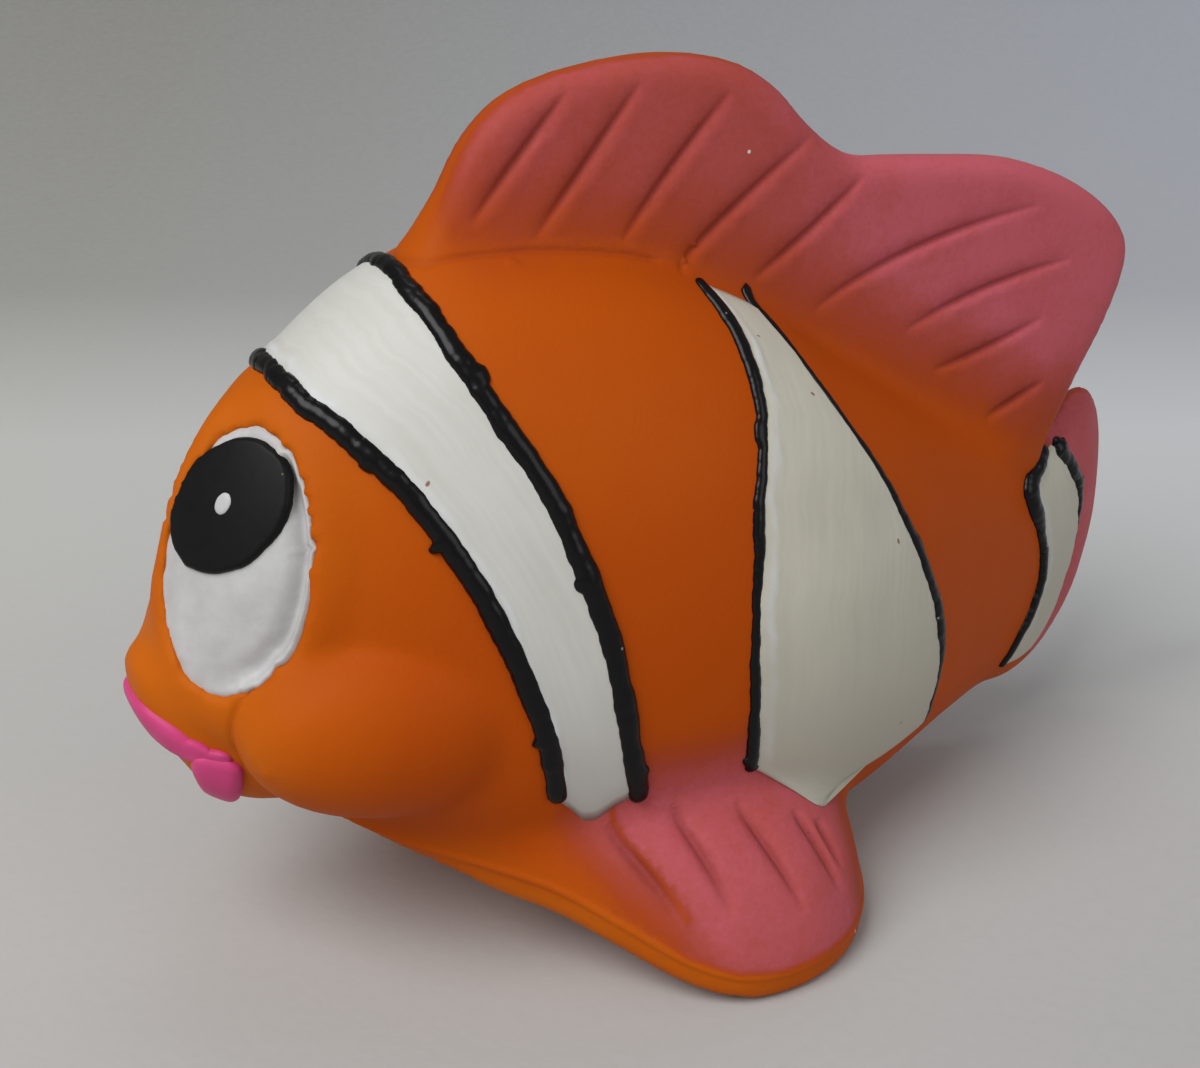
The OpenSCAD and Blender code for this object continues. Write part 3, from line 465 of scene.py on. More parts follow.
# Plain finishes: two shades in lumps, rare specks, and a grain that is bumped by so many millimetres. Lumps
# and grain are a size and a detail; specks are a spacing, a size and a colour
finishes = {
    # Black relief paint squeezed from a bottle: glossy and lumpy, dulled with dust
    "relief_paint_black": {
        "lumps": (2, 1.5), "shades": ("060506", "0E0C0D"), "specks": (3.5, 0.2, "8F8B80"), "depth": 0.1,
        "shader": {"IOR": 1.5, "Roughness": 0.26, "Specular IOR Level": 0.22},
    },
    # Black enamel laid thick and left to level: satin, with a little yellow dust
    "enamel_black": {
        "lumps": (1.2, 3), "shades": ("0B0C0B", "141514"), "specks": (2.6, 0.16, "6A6438"), "depth": 0.02,
        "shader": {"IOR": 1.5, "Roughness": 0.45, "Specular IOR Level": 0.14},
    },
    # White enamel over the moulded eyeball: smooth with faint brush marks, grey in patches
    "enamel_white": {
        "lumps": (3.5, 4), "range": (0.35, 0.65), "shades": ("B6B4B2", "C2C1C1"),
        "specks": (4.5, 0.16, "8C8490"), "grain": (1.2, 3), "depth": 0.08,
        "shader": {"IOR": 1.5, "Roughness": 0.45, "Specular IOR Level": 0.3},
    },
    # Magenta acrylic: satin, a little uneven where two strokes meet
    "acrylic_magenta": {
        "lumps": (3, 3), "range": (0.3, 0.7), "shades": ("C83C74", "D04680"), "depth": 0.05,
        "shader": {"IOR": 1.5, "Roughness": 0.5, "Specular IOR Level": 0.25},
    },
    # Injection-moulded polyethylene: milky, soft gloss
    "moulded_polyethylene": {
        "lumps": (3, 2), "shades": ("D2CFC4", "DCDAD2"), "grain": (0.6, 3), "depth": 0.03,
        "shader": {"IOR": 1.51, "Roughness": 0.38},
    },
    # Rolled brass strip: fine lines along the roll
    "rolled_brass": {
        "stretch": (1, 1, 0.05), "lumps": (0.15, 3), "shades": ("B8923F", "D2AE5A"), "depth": 0.01,
        "shader": {"Metallic": 1.0, "Roughness": 0.3},
    },
}


def plainFinish(name):
    finish = finishes[name]
    material, tree, place = newMaterial(name)
    if "stretch" in finish:
        place = addNode(tree, "ShaderNodeMapping", {"Scale": finish["stretch"], "Vector": place})
    lumps, grain = (
        addNode(tree, "ShaderNodeTexNoise", {"Vector": place, "Scale": scaleOf(size), "Detail": detail})
        for size, detail in (finish["lumps"], finish.get("grain", finish["lumps"])))
    low, high = finish.get("range", (0, 1))
    dark, light = finish["shades"]
    coats = [(addNode(tree, "ShaderNodeMapRange", {0: lumps, 1: low, 2: high}), light)]
    if "specks" in finish:
        spacing, size, speck = finish["specks"]
        coats.append((specks(tree, place, spacing, size), speck))
    shader = {"Base Color": layColours(tree, dark, *coats), **finish["shader"]}
    finishMaterial(tree, shader, grain, finish["depth"])
    return material


latex = mouldedLatex()
# The third shade of each white is its painted shade toward the lower end
headWhite = brushedPaint("brushed_acrylic_white", "CDCCC6", "C4C3BC", "B4B1AC")
flankWhite = brushedPaint("brushed_acrylic_cream", "C8C4B5", "BEBAAB", "B3AEA0")
black = plainFinish("relief_paint_black")
enamelBlack = plainFinish("enamel_black")
enamelWhite = plainFinish("enamel_white")
magenta = plainFinish("acrylic_magenta")
plastic = plainFinish("moulded_polyethylene")
brass = plainFinish("rolled_brass")
print("materials made")


# Eyes: layers laid on the moulded ball, as ovals with heights worked out over them
def onBall(u, v, lift, dip=0):
    # The ball settles into the cheek below, and on the right side it dips toward the nose
    wide, tall = 2 * u / eye["width"], 2 * v / eye["height"]
    h = eye["depth"] * np.sqrt(np.maximum(0, 1 - wide**2 - tall**2))
    h = h - eye["settle"] * smooth(0.1, 0.9, -0.75 * wide - 0.6 * tall)
    h = h - dip * smooth(-0.3, 0.9, wide) * smooth(0.35, -0.15, tall)
    flat = eyeCentre + u[..., None] * eyeAcross + v[..., None] * eyeUp
    return flat + (h - eyeSink + lift)[..., None] * eyeOut


def layer(centre, half, lean, liftAt, base, seed, waver=0.012, around=180, nicks=(), under=1.4, dip=0):
    # liftAt gives the height of the layer from its share out from the centre and its angle in degrees;
    # a nick is an angle, how far the outline runs out there as a share, and its breadth in degrees
    turn = np.linspace(0, 2 * math.pi, around, endpoint=False)[None]
    share = np.sin(np.linspace(0.03, 1, 40) * math.pi / 2)[:, None]
    degrees = np.degrees(turn)
    outline = 1 + waver * wobble(np.cos(turn) * 4 + np.sin(turn) * 5, seed)
    outline = outline + 0.18 * waver * wobble(turn * 7, seed + 3) * np.sin(turn / 2) ** 0.5
    for at, far, breadth in nicks:
        outline = outline + far * np.exp(-((degrees - at) / breadth) ** 2)
    r = share * mix(1, outline, share**2)
    u, v = half[0] * r * np.cos(turn), half[1] * r * np.sin(turn)
    c, s = math.cos(math.radians(lean)), math.sin(math.radians(lean))
    u, v = centre[0] + u * c - v * s, centre[1] + u * s + v * c
    rings = [onBall(u, v, base + liftAt(share + 0 * turn, degrees + 0 * share), dip)]
    for inward, deep in ((1, under / 3), (0.93, under), (0.4, under)):
        low = np.full_like(u[-1:], base - deep)
        rings.append(onBall(mix(centre[0], u[-1:], inward), mix(centre[1], v[-1:], inward), low, dip))
    return np.concatenate(rings)


def rounded(share, reach):
    # Height of a rounded edge, 0 at the outline and 1 from a short reach inside it
    return np.sqrt(1 - np.clip(1 - (1 - share) / reach, 0, 1) ** 2)


def arc(degrees, start, end, startSoft, endSoft):
    # 1 between two angles, softened at each
    rise = smooth(start - startSoft, start + startSoft, degrees)
    return rise * smooth(end + endSoft, end - endSoft, degrees)


# The rim of the socket stands up on the side away from the nose, with a ditch inside it
whiteRelief = {
    "thick": 0.16,
    "rim": (0.42, 0.955, 0.04),
    "ditch": (0.95, 0.83, 0.085),
    "lip": (0.2, 0.93, 0.06),
    "fold": (0.35, 0.86, 0.09),
    "ragged": (0.07, 0.95, 0.05),
}


def whiteLift(share, degrees):
    # Each form has its height in millimetres, and its place and half width as shares out from the centre
    forms = {key: form[0] * np.exp(-((share - form[1]) / form[2]) ** 2)
             for key, form in whiteRelief.items() if key != "thick"}
    relief = forms["rim"] * arc(degrees, 112, 258, 4, 30) * (1 + 0.25 * wobble(degrees * 0.12, 2))
    relief = relief - forms["ditch"] * arc(degrees, 118, 245, 8, 30)
    relief = relief + forms["lip"] * arc(degrees, 20, 110, 30, 4)
    relief = relief + forms["fold"] * np.exp(-((degrees - 112) / 3.5) ** 2)
    relief = relief + forms["ragged"] * wobble(degrees * 0.35, 4)
    return (whiteRelief["thick"] + relief) * rounded(share, 0.03) - 0.02


def bedLift(share, degrees):
    return 1.5 + 0 * share


def ballLift(share, degrees):
    return 0 * share


def pupilLift(share, degrees):
    return 0.62 * rounded(share, 0.075) + 0.05 * (1 - share**2)


def glintLift(share, degrees):
    return 0.22 * rounded(share, 0.6)


whiteSize = (eye["width"] * eye["whiteShare"] / 2, eye["height"] * eye["whiteShare"] / 2)
whiteNicks = [(166, 0.05, 1.2), (160, -0.012, 3), (113, -0.035, 3), (222, -0.03, 3), (236, 0.022, 3),
              (213, 0.045, 22), (62, 0.012, 3), (48, -0.015, 3), (250, -0.015, 2)]
pupilNicks = [(70, -0.02, 6), (250, 0.02, 5), (15, -0.03, 20), (190, 0.025, 12)]
eyeLayers = [
    # Piece, node, material, slot, centre, half sizes, lean, relief, base, seed, waver, nicks
    ("eye_enamel_", "eye_white_", enamelWhite, "eye_white",
     (0, 0), whiteSize, 0, whiteLift, 0, 3, 0.012, whiteNicks),
    ("pupil_enamel_", "pupil_", enamelBlack, "pupil_black",
     (1.4, 4.65), (5.35, 6.7), 43, pupilLift, 0.1, 5, 0.014, pupilNicks),
    ("glint_dab_", "eye_glint_", enamelWhite, "eye_white",
     (1.4, 4.8), (0.75, 1.0), 20, glintLift, 0.72, 9, 0.02, []),
]

# Body: the solids are laid in one field of distances, grown into each other, carved and hollowed
voxel = body["voxel"]
margin = 4
lowCell = np.floor(bodyLow / voxel).astype(int) - margin
cells = np.ceil(bodyHigh / voxel).astype(int) + margin - lowCell
bandCells = 7
gridScale = vdb.createLinearTransform(voxelSize=voxel)


def field(rings):
    points, faces = loftMesh(rings)
    grid = vdb.FloatGrid.createLevelSetFromPolygons(
        points.astype(np.float32), triangles=faces.astype(np.uint32), transform=gridScale,
        halfWidth=bandCells)
    distance = np.empty(cells, np.float32)
    grid.copyToArray(distance, ijk=lowCell.tolist())
    return distance


def grow(a, b, blend):
    t = np.clip(0.5 + 0.5 * (b - a) / blend, 0, 1)
    return mix(b, a, t) - blend * t * (1 - t)


def ellipsoid(centre, axes, count=72):
    # Rings of a ball with three given half axes
    turn = np.linspace(0, math.pi, count)[1:-1, None]
    around = np.linspace(0, 2 * math.pi, count, endpoint=False)[None]
    ball = (np.cos(turn)[..., None] * axes[0] + (np.sin(turn) * np.cos(around))[..., None] * axes[1]
            + (np.sin(turn) * np.sin(around))[..., None] * axes[2])
    return np.asarray(centre) + ball


def bodyRings():
    x = np.linspace(-length / 2, length / 2, 220)
    x = np.concatenate([x[:1], np.linspace(x[0], x[6], 24)[1:-1], x[6:-6], np.linspace(x[-6], x[-1], 24)[1:]])
    ridge, belly, widest, half, swing = (part[:, None] for part in station(x))
    around = np.linspace(0, 2 * math.pi, 128, endpoint=False)[None]
    c, s = np.cos(around), np.sin(around)
    power = np.where(c >= 0, body["upperPower"], body["lowerPower"])
    z = widest + np.where(c >= 0, ridge - widest, belly - widest) * np.abs(c) ** (2 / power)
    y = swing + half * np.sign(s) * np.abs(s) ** (2 / power)
    return np.stack([x[:, None] + 0 * y, y, z], -1)


def backFinRings():
    rise = np.concatenate([np.linspace(0, 0.8, 16), 1 - 0.2 * np.cos(np.linspace(0, math.pi / 2, 14)[1:])])
    u = np.linspace(0, 1, 200)[:, None]
    return np.concatenate([backFinPoint(u, rise, -1), backFinPoint(u, rise[::-1][1:], 1)], 1)


def sideFinRings():
    u = np.linspace(0, 1, 160)
    rim, h = sideFinRim(u)
    root = sideFinRoot(u)
    under = np.maximum(0, np.minimum(rim[:, 2] - h, station(root[:, 0])[1] + body["wall"]))
    base = np.stack([root[:, 0], root[:, 1], under], -1)
    side = []
    for turn in np.linspace(-90, 50, 9):
        # The rim is a soft band that tucks in toward its lower edge
        a = math.radians(turn)
        tuck = sideFin["tuckShare"] * h * (1 - math.cos(a)) + 0.05 * h
        side.append(rim + np.stack([0 * h, tuck, -h * (0.5 - 0.5 * math.sin(a))], -1))
    top = [sideFinTop(u, v) for v in np.linspace(0.98, 0, 24)]
    return np.stack([base, *side, *top], 1)


def soften(values, reach=1):
    # Rounds what the mould can't hold sharp
    weights = np.exp(-0.5 * (np.arange(-2, 3) / reach) ** 2)
    weights /= weights.sum()
    for axis in range(3):
        padded = np.pad(values, [(2, 2) if axis == a else (0, 0) for a in range(3)], mode="edge")
        parts = [np.take(padded, range(k, k + values.shape[axis]), axis) * weights[k] for k in range(5)]
        values = sum(parts)
    return values


plain = field(bodyRings())
finField = field(backFinRings())
distance = grow(plain, finField, backFin["blend"])
across = ((np.arange(cells[1]) + lowCell[1]) * voxel)[None, :, None]
for side in (np.ones(3), mirrorY):
    distance = grow(distance, field(sideFinRings() * side), sideFin["blend"])
    for lump in (cheekPad, cheek):
        lumpAt, lumpSize = (np.array(lump[key]) * bodySize for key in ("place", "size"))
        faceField, cheekField = distance, field(ellipsoid(lumpAt, np.diag(lumpSize)) * side)
        distance = grow(distance, cheekField, lump["blend"])
    if side[1] > 0:
        leftCheek = faceField - cheekField
    dip = eye["rightDip"] * (side[1] < 0)
    ball = layer((0, 0), (eye["width"] / 2, eye["height"] / 2), 0, ballLift, 0, 0, 0, under=5, dip=dip)
    distance = grow(distance, np.maximum(field(ball * side), across * side[1]), eye["blend"])
distance = soften(distance, 0.7)
for side in (np.ones(3), mirrorY):
    # The enamel lies in a bed of its own in the latex
    bedSize = [half - eye["bed"] for half in whiteSize]
    dip = eye["rightDip"] * (side[1] < 0)
    bed = layer((0, 0), bedSize, 0, bedLift, 0, 3, 0.012, nicks=whiteNicks, under=1.4 - eye["bed"], dip=dip)
    bed = np.maximum(field(bed * side), across * side[1] + 0.5)
    distance = np.maximum(distance, -bed)
heights = ((np.arange(cells[2]) + lowCell[2]) * voxel)[None, None]
lengths = ((np.arange(cells[0]) + lowCell[0]) * voxel)[:, None, None]
distance = np.maximum(distance, -heights)
ends = [share * length for share in body["cavityEnds"]]
cavity = plain + body["wall"]
for limit in (body["floor"] - heights, ends[0] - lengths, lengths - ends[1]):
    cavity = np.maximum(cavity, limit)
distance = np.maximum(distance, -cavity)
# The squeaker's seat: a bore for the barrel through the floor, and a recess for the flange under it
seat = {"bore": 12, "past": 1, "recess": 1.58, "gap": 0.08}
reach = np.hypot(lengths - (barrelLow[0] + barrelHigh[0]) / 2, across)
hole = np.maximum(reach - seat["bore"] / 2 - seat["gap"], heights - body["floor"] - seat["past"])
flange = barrelHigh[0] - barrelLow[0]
recess = np.maximum(reach - flange / 2 - seat["gap"], heights - seat["recess"])
distance = np.maximum(distance, -np.minimum(hole, recess)).astype(np.float32)
grid = vdb.FloatGrid(float(distance.max()))
grid.copyFromArray(distance, ijk=lowCell.tolist())
grid.transform = gridScale
skinPoints, _, skinQuads = grid.convertToPolygons(isovalue=0, adaptivity=0)
print("body field meshed:", len(skinPoints), "points,", len(skinQuads), "quads")


def sample(values, points):
    # Reads a field of values at points, between its cells
    at = points / voxel - lowCell
    base = np.clip(np.floor(at).astype(int), 0, np.array(cells) - 2)
    t = at - base
    total = 0
    for corner in np.ndindex(2, 2, 2):
        weight = np.prod(np.where(np.array(corner), t, 1 - t), -1)
        total = total + weight * values[tuple((base + corner).T)]
    return total


def readPoints(mesh, normals=False):
    values = np.zeros(3 * len(mesh.vertices), np.float32)
    if normals:
        mesh.vertex_normals.foreach_get("vector", values)
    else:
        mesh.vertices.foreach_get("co", values)
    return values.reshape(-1, 3).astype(float) / (1 if normals else mm)


def thinCavity(piece):
    # The hidden inner wall keeps its shape with far fewer faces
    inner = np.abs(sample(cavity, readPoints(piece.data))) < 0.6
    group = piece.vertex_groups.new(name="cavity")
    group.add(np.nonzero(inner)[0].tolist(), 1, "REPLACE")
    thin = piece.modifiers.new("thinCavity", "DECIMATE")
    thin.vertex_group = "cavity"
    thin.ratio = 1 - 0.88 * inner.mean()
    plainMesh = bpy.data.meshes.new_from_object(piece.evaluated_get(bpy.context.evaluated_depsgraph_get()))
    piece.modifiers.clear()
    piece.vertex_groups.clear()
    piece.data = plainMesh


# Marks pressed into the mould: fin rays, the parting line round the side fins, and blobs of latex
marks = {
    "ray": {"sharp": 0.4, "soft": 1.0, "depth": 0.62, "lip": 0.2, "lipShift": (0.8, -0.5)},
    "foot": {"sharp": 0.5, "soft": 1.3, "depth": 0.75, "lip": 0.1, "lipShift": (1.1, 0.3)},
    "lipHalf": 0.55,
    "parting": {"sharp": 0.3, "depth": -0.22, "groove": 0.3, "grooveAt": 0.75, "grooveHalf": 0.32},
    "crease": {"sharp": 0.35, "depth": 0.27},
    # The marks of the feet lie below this height, and farther from the middle than this
    "footBelow": 20,
    "footBeyond": 15,
    # The mesh is made finer twice, each time where a mark is nearer than this
    "finer": (1.05, 0.55),
    # Blobs: place along the length, sign of the side, height, radius in millimetres
    "blobs": [
        (-0.189, -1, 0.803, 0.55), (-0.14, -1, 0.94, 0.3), (-0.04, -1, 0.876, 0.4), (-0.023, -1, 0.79, 0.4),
        (-0.035, -1, 0.775, 0.45), (-0.43, -1, 0.315, 0.5), (-0.437, -1, 0.335, 0.4),
    ],
}


def farFrom(points, path):
    # Distance to a path of points, and the share along it where it is nearest
    best = np.full(len(points), 1e9)
    share = np.zeros(len(points))
    for k in range(len(path) - 1):
        run = path[k + 1] - path[k]
        t = np.clip((points - path[k]) @ run / (run @ run), 0, 1)
        away = np.linalg.norm(points - path[k] - t[:, None] * run, axis=1)
        closer = away < best
        best = np.where(closer, away, best)
        share = np.where(closer, (k + t) / (len(path) - 1), share)
    return best, share


def bent(places, scale):
    # Smooth path through three places
    a, b, c = (np.array(place) * scale for place in places)
    t = np.linspace(0, 1, 13)[:, None]
    return a * (1 - t) * (1 - 2 * t) + b * 4 * t * (1 - t) + c * t * (2 * t - 1)


def finCrease(x):
    # Height at which the back fin grows from the body
    return height * readTable(np.array(backFin["outline"])[:, 3:], x / length, 1)


def rayMarks(points):
    # Distance, share along and kind for the nearest ray of the fins, and the distance to its raised lip
    nearest, along, lipAway = np.full(len(points), 1e9), np.zeros(len(points)), np.full(len(points), 1e9)
    foot = np.zeros(len(points), bool)
    onBack = points[:, 2] > finCrease(points[:, 0]) - 2
    onFoot = (np.abs(points[:, 1]) > marks["footBeyond"]) & (points[:, 2] < marks["footBelow"])
    jobs = [(onBack, (0, 2), (length, height), ray, False) for ray in backFin["rays"]]
    jobs += [(onFoot, (0, 1), (length, finSpan / 2), ray, True) for ray in sideFin["rays"]]
    for where, axes, scale, ray, isFoot in jobs:
        flat = points[where][:, axes]
        if isFoot:
            flat[:, 1] = np.abs(flat[:, 1])
        path = bent(ray, scale)
        away, share = farFrom(flat, path)
        index = np.nonzero(where)[0]
        shift = np.array(marks["foot" if isFoot else "ray"]["lipShift"])
        lipAway[index] = np.minimum(lipAway[index], farFrom(flat, path + shift)[0])
        closer = away < nearest[index]
        nearest[index[closer]], along[index[closer]] = away[closer], share[closer]
        foot[index[closer]] = isFoot
    return nearest, along, foot, lipAway


def partingMarks(points):
    # The skin lies a little inside the rim's own line, so what counts is how much farther a point is than
    # the nearest one along the same stretch of the rim
    rim = sideFinRim(np.linspace(0.05, 1, 60))[0]
    low = points[:, 2] < marks["footBelow"]
    away = np.full(len(points), 1e9)
    left = points[low]
    left[:, 1] = -np.abs(left[:, 1])
    apart, share = farFrom(left, rim)
    stretches = 80
    stretch = np.clip((share * stretches).astype(int), 0, stretches - 1)
    least = np.full(stretches, 9.0)
    np.minimum.at(least, stretch, apart)
    away[low] = apart - least[stretch]
    return away


def creaseMarks(points):
    # Nearness to where the back fin and the cheeks grow from the body; where no crease is wanted, and on the
    # wall of the cavity, the point counts as farther off
    farther = 3
    left = np.where(points[:, 1:2] > 0, points * mirrorY, points)
    x = points[:, 0] / length
    toBody = sample(plain, left)
    fin = np.abs(toBody - sample(finField, left)) + farther * smooth(-0.07, -0.02, x)
    fin = fin + farther * (np.abs(toBody) > 1.2)
    front = np.abs(sample(leftCheek, left)) + farther * smooth(-0.405, -0.385, x)
    front = front + farther * (left[:, 2] > 36)
    return np.minimum(fin, front) + farther * (sample(cavity, points) < 1)


def refine(piece, near):
    # Splits the faces near the marks, and smooths the new points
    mesh = piece.data
    work = bmesh.new()
    work.from_mesh(mesh)
    edges = [edge for edge in work.edges if near[edge.verts[0].index] and near[edge.verts[1].index]]
    made = bmesh.ops.subdivide_edges(work, edges=edges, cuts=1, use_grid_fill=True)["geom_inner"]
    fresh = [item for item in made if isinstance(item, bmesh.types.BMVert)]
    for _ in range(3):
        bmesh.ops.smooth_vert(work, verts=fresh, factor=0.5,
                              use_axis_x=True, use_axis_y=True, use_axis_z=True)
    work.to_mesh(mesh)
    work.free()
    mesh.update()


fishBody = makeObject("latex_body", skinPoints, skinQuads, latex)
thinCavity(fishBody)
print("cavity thinned:", len(fishBody.data.vertices), "points,", len(fishBody.data.polygons), "faces")
for within in marks["finer"]:
    points = readPoints(fishBody.data)
    nearest = np.minimum.reduce([rayMarks(points)[0], partingMarks(points), creaseMarks(points)])
    refine(fishBody, nearest < within)
points = readPoints(fishBody.data)
normals = readPoints(fishBody.data, True)
away, along, foot, lipAway = rayMarks(points)
taper = np.clip(4 * along * (1 - along), 0, 1) ** 0.8
pressed = np.zeros(len(points))
onSide, onTop = smooth(0.15, 0.45, np.abs(normals[:, 1])), smooth(0.15, 0.6, normals[:, 2])
for kind, which in (("ray", ~foot * onSide), ("foot", foot * onTop)):
    m = marks[kind]
    shape = 0.65 * np.exp(-(away / m["sharp"]) ** 2) + 0.35 * np.exp(-(away / m["soft"]) ** 2)
    lipShape = m["lip"] * np.exp(-(lipAway / marks["lipHalf"]) ** 2) * (away > 0.25)
    pressed += which * taper * (m["depth"] * shape - lipShape)
apart = partingMarks(points)
m = marks["parting"]
pressed += m["depth"] * np.exp(-(apart / m["sharp"]) ** 2)
groove = m["groove"] * np.exp(-((apart - m["grooveAt"]) / m["grooveHalf"]) ** 2)
pressed += groove * smooth(0.45, 0.8, normals[:, 2])
m = marks["crease"]
pressed += m["depth"] * np.exp(-(creaseMarks(points) / m["sharp"]) ** 2)
skin = BVHTree.FromPolygons(skinPoints.tolist(), skinQuads.tolist())
blobLift = np.zeros(len(points))
for x, side, z, radius in marks["blobs"]:
    hit = skin.ray_cast(Vector((x * length, side * 60, z * height)), Vector((0, -side, 0)))[0]
    blobLift += 0.8 * radius * np.exp(-((points - np.array(hit)) ** 2).sum(1) / (0.6 * radius) ** 2)
# How deep each point is pressed, kept for the painted shade in the grooves
grooveShade = np.clip((pressed - 0.12) / 0.5, 0, 1)
moved = points - normals * (pressed - blobLift)[:, None]
fishBody.data.vertices.foreach_set("co", (moved * mm).astype(np.float32).ravel())
fishBody.data.update()


# Airbrush: heights above the crease of the back fin with the strength of the pink there, and its reach on
# the side fins
airbrush = {
    "rise": [(-1.5, 0), (0, 0.05), (2, 0.15), (4.5, 0.34), (8, 0.54), (13, 0.72), (40, 0.8)],
    "rearGain": 0.3,
    "sideFront": ((-24, 19), (-16, 29)),
    "sideEnd": 5.5,
    "sideTop": (17, 27),
}


def airbrushOver(p, n):
    x, y, z = p.T
    crease = finCrease(x)
    rise = np.array(airbrush["rise"])
    back = np.interp(z - crease, rise[:, 0], rise[:, 1]) * smooth(-0.258, -0.215, x / length)
    back = back * (1 + airbrush["rearGain"] * smooth(0, 0.2, x / length) * smooth(6, 16, z - crease))
    turned = smooth(0.05, 0.5, np.abs(n[:, 1]))
    back = back * mix(0.25 + 0.75 * turned, 1, smooth(0.02, 0.14, x / length))
    (x0, y0), (x1, y1) = airbrush["sideFront"]
    front = x0 + (np.abs(y) - y0) * (x1 - x0) / (y1 - y0)
    rimHeight = np.interp(x / length, *np.array(sideFin["outline"])[:, [1, 3]].T) * height
    low, high = airbrush["sideTop"]
    side = smooth(-2, 4, x - front) * smooth(high, low, z) * smooth(-0.2, 0.9, z - rimHeight)
    rear = x + 0.25 * (np.abs(y) - 22)
    side = side * smooth(airbrush["sideEnd"] + 3, airbrush["sideEnd"] - 2, rear) * smooth(13, 17, np.abs(y))
    tail = smooth(0.365, 0.39, x / length) * smooth(0.05, 0.5, np.abs(n[:, 1]))
    first = bent(sideFin["rays"][0], (length, finSpan / 2)) + [0.65, 0.2]
    bare = np.exp(-(farFrom(np.column_stack([x, np.abs(y)]), first)[0] / 0.25) ** 2)
    bare = bare * (z < marks["footBelow"])
    side = side * (1 - 0.55 * bare)
    return np.clip(np.maximum.reduce([back * (z > crease - 1.5), side * 0.88, tail * 0.9]), 0, 1)


setAttribute(fishBody, "airbrush", airbrushOver(points, normals))
setAttribute(fishBody, "grooveShade", grooveShade)
finishPiece(fishBody, "body_shell")
fishBody.data.calc_loop_triangles()
print("body done:", len(fishBody.data.loop_triangles), "triangles")


def onSkin(points, normals, reach=4):
    # Each point is dropped along its normal onto the moulded skin, and stays where it finds none
    result = np.array(points, float)
    flat, flatN = result.reshape(-1, 3), np.broadcast_to(normals, result.shape).reshape(-1, 3)
    for k in range(len(flat)):
        start = flat[k] + flatN[k] * reach
        hit = skin.ray_cast(Vector(start), Vector(-flatN[k]), 2 * reach)
        if hit[0] is not None:
            flat[k] = hit[0]
    return result


# Painted bands: drop from the ridge, front line and rear line as shares of the length
bands = {
    "head": [
        (0, -0.37, -0.272), (0.02, -0.367, -0.27), (0.06, -0.36, -0.262), (0.13, -0.342, -0.249),
        (0.2, -0.323, -0.231), (0.28, -0.301, -0.208), (0.36, -0.28, -0.191), (0.45, -0.259, -0.175),
        (0.54, -0.239, -0.163), (0.63, -0.223, -0.154), (0.72, -0.213, -0.144), (0.78, -0.207, -0.138),
    ],
    "flank": [
        (0.005, -0.032, 0.017), (0.025, -0.028, 0.024), (0.06, -0.018, 0.038), (0.1, -0.018, 0.056),
        (0.15, -0.02, 0.08), (0.2, -0.026, 0.101), (0.27, -0.037, 0.122), (0.35, -0.043, 0.143),
        (0.44, -0.048, 0.162), (0.53, -0.048, 0.175), (0.62, -0.046, 0.182), (0.7, -0.046, 0.184),
        (0.78, -0.046, 0.183), (0.88, -0.046, 0.175),
    ],
    "tail": [
        (0.03, 0.38, 0.39), (0.055, 0.366, 0.391), (0.09, 0.35, 0.396), (0.13, 0.341, 0.402),
        (0.19, 0.339, 0.411), (0.27, 0.35, 0.423), (0.36, 0.359, 0.434), (0.46, 0.366, 0.438),
        (0.56, 0.365, 0.437), (0.66, 0.354, 0.43), (0.75, 0.34, 0.418),
        (0.83, 0.33, 0.397), (0.9, 0.322, 0.36),
    ],
}
coats = {
    "thickness": 0.34,
    "round": 0.5,
    "sunk": 0.2,
    "under": 0.35,
    "ridge": 0.2,
    "ridgeAt": 1.35,
    "ridgeHalf": 0.33,
}


def lineX(band, column, drop):
    return length * readTable(bands[band], np.abs(drop), column)


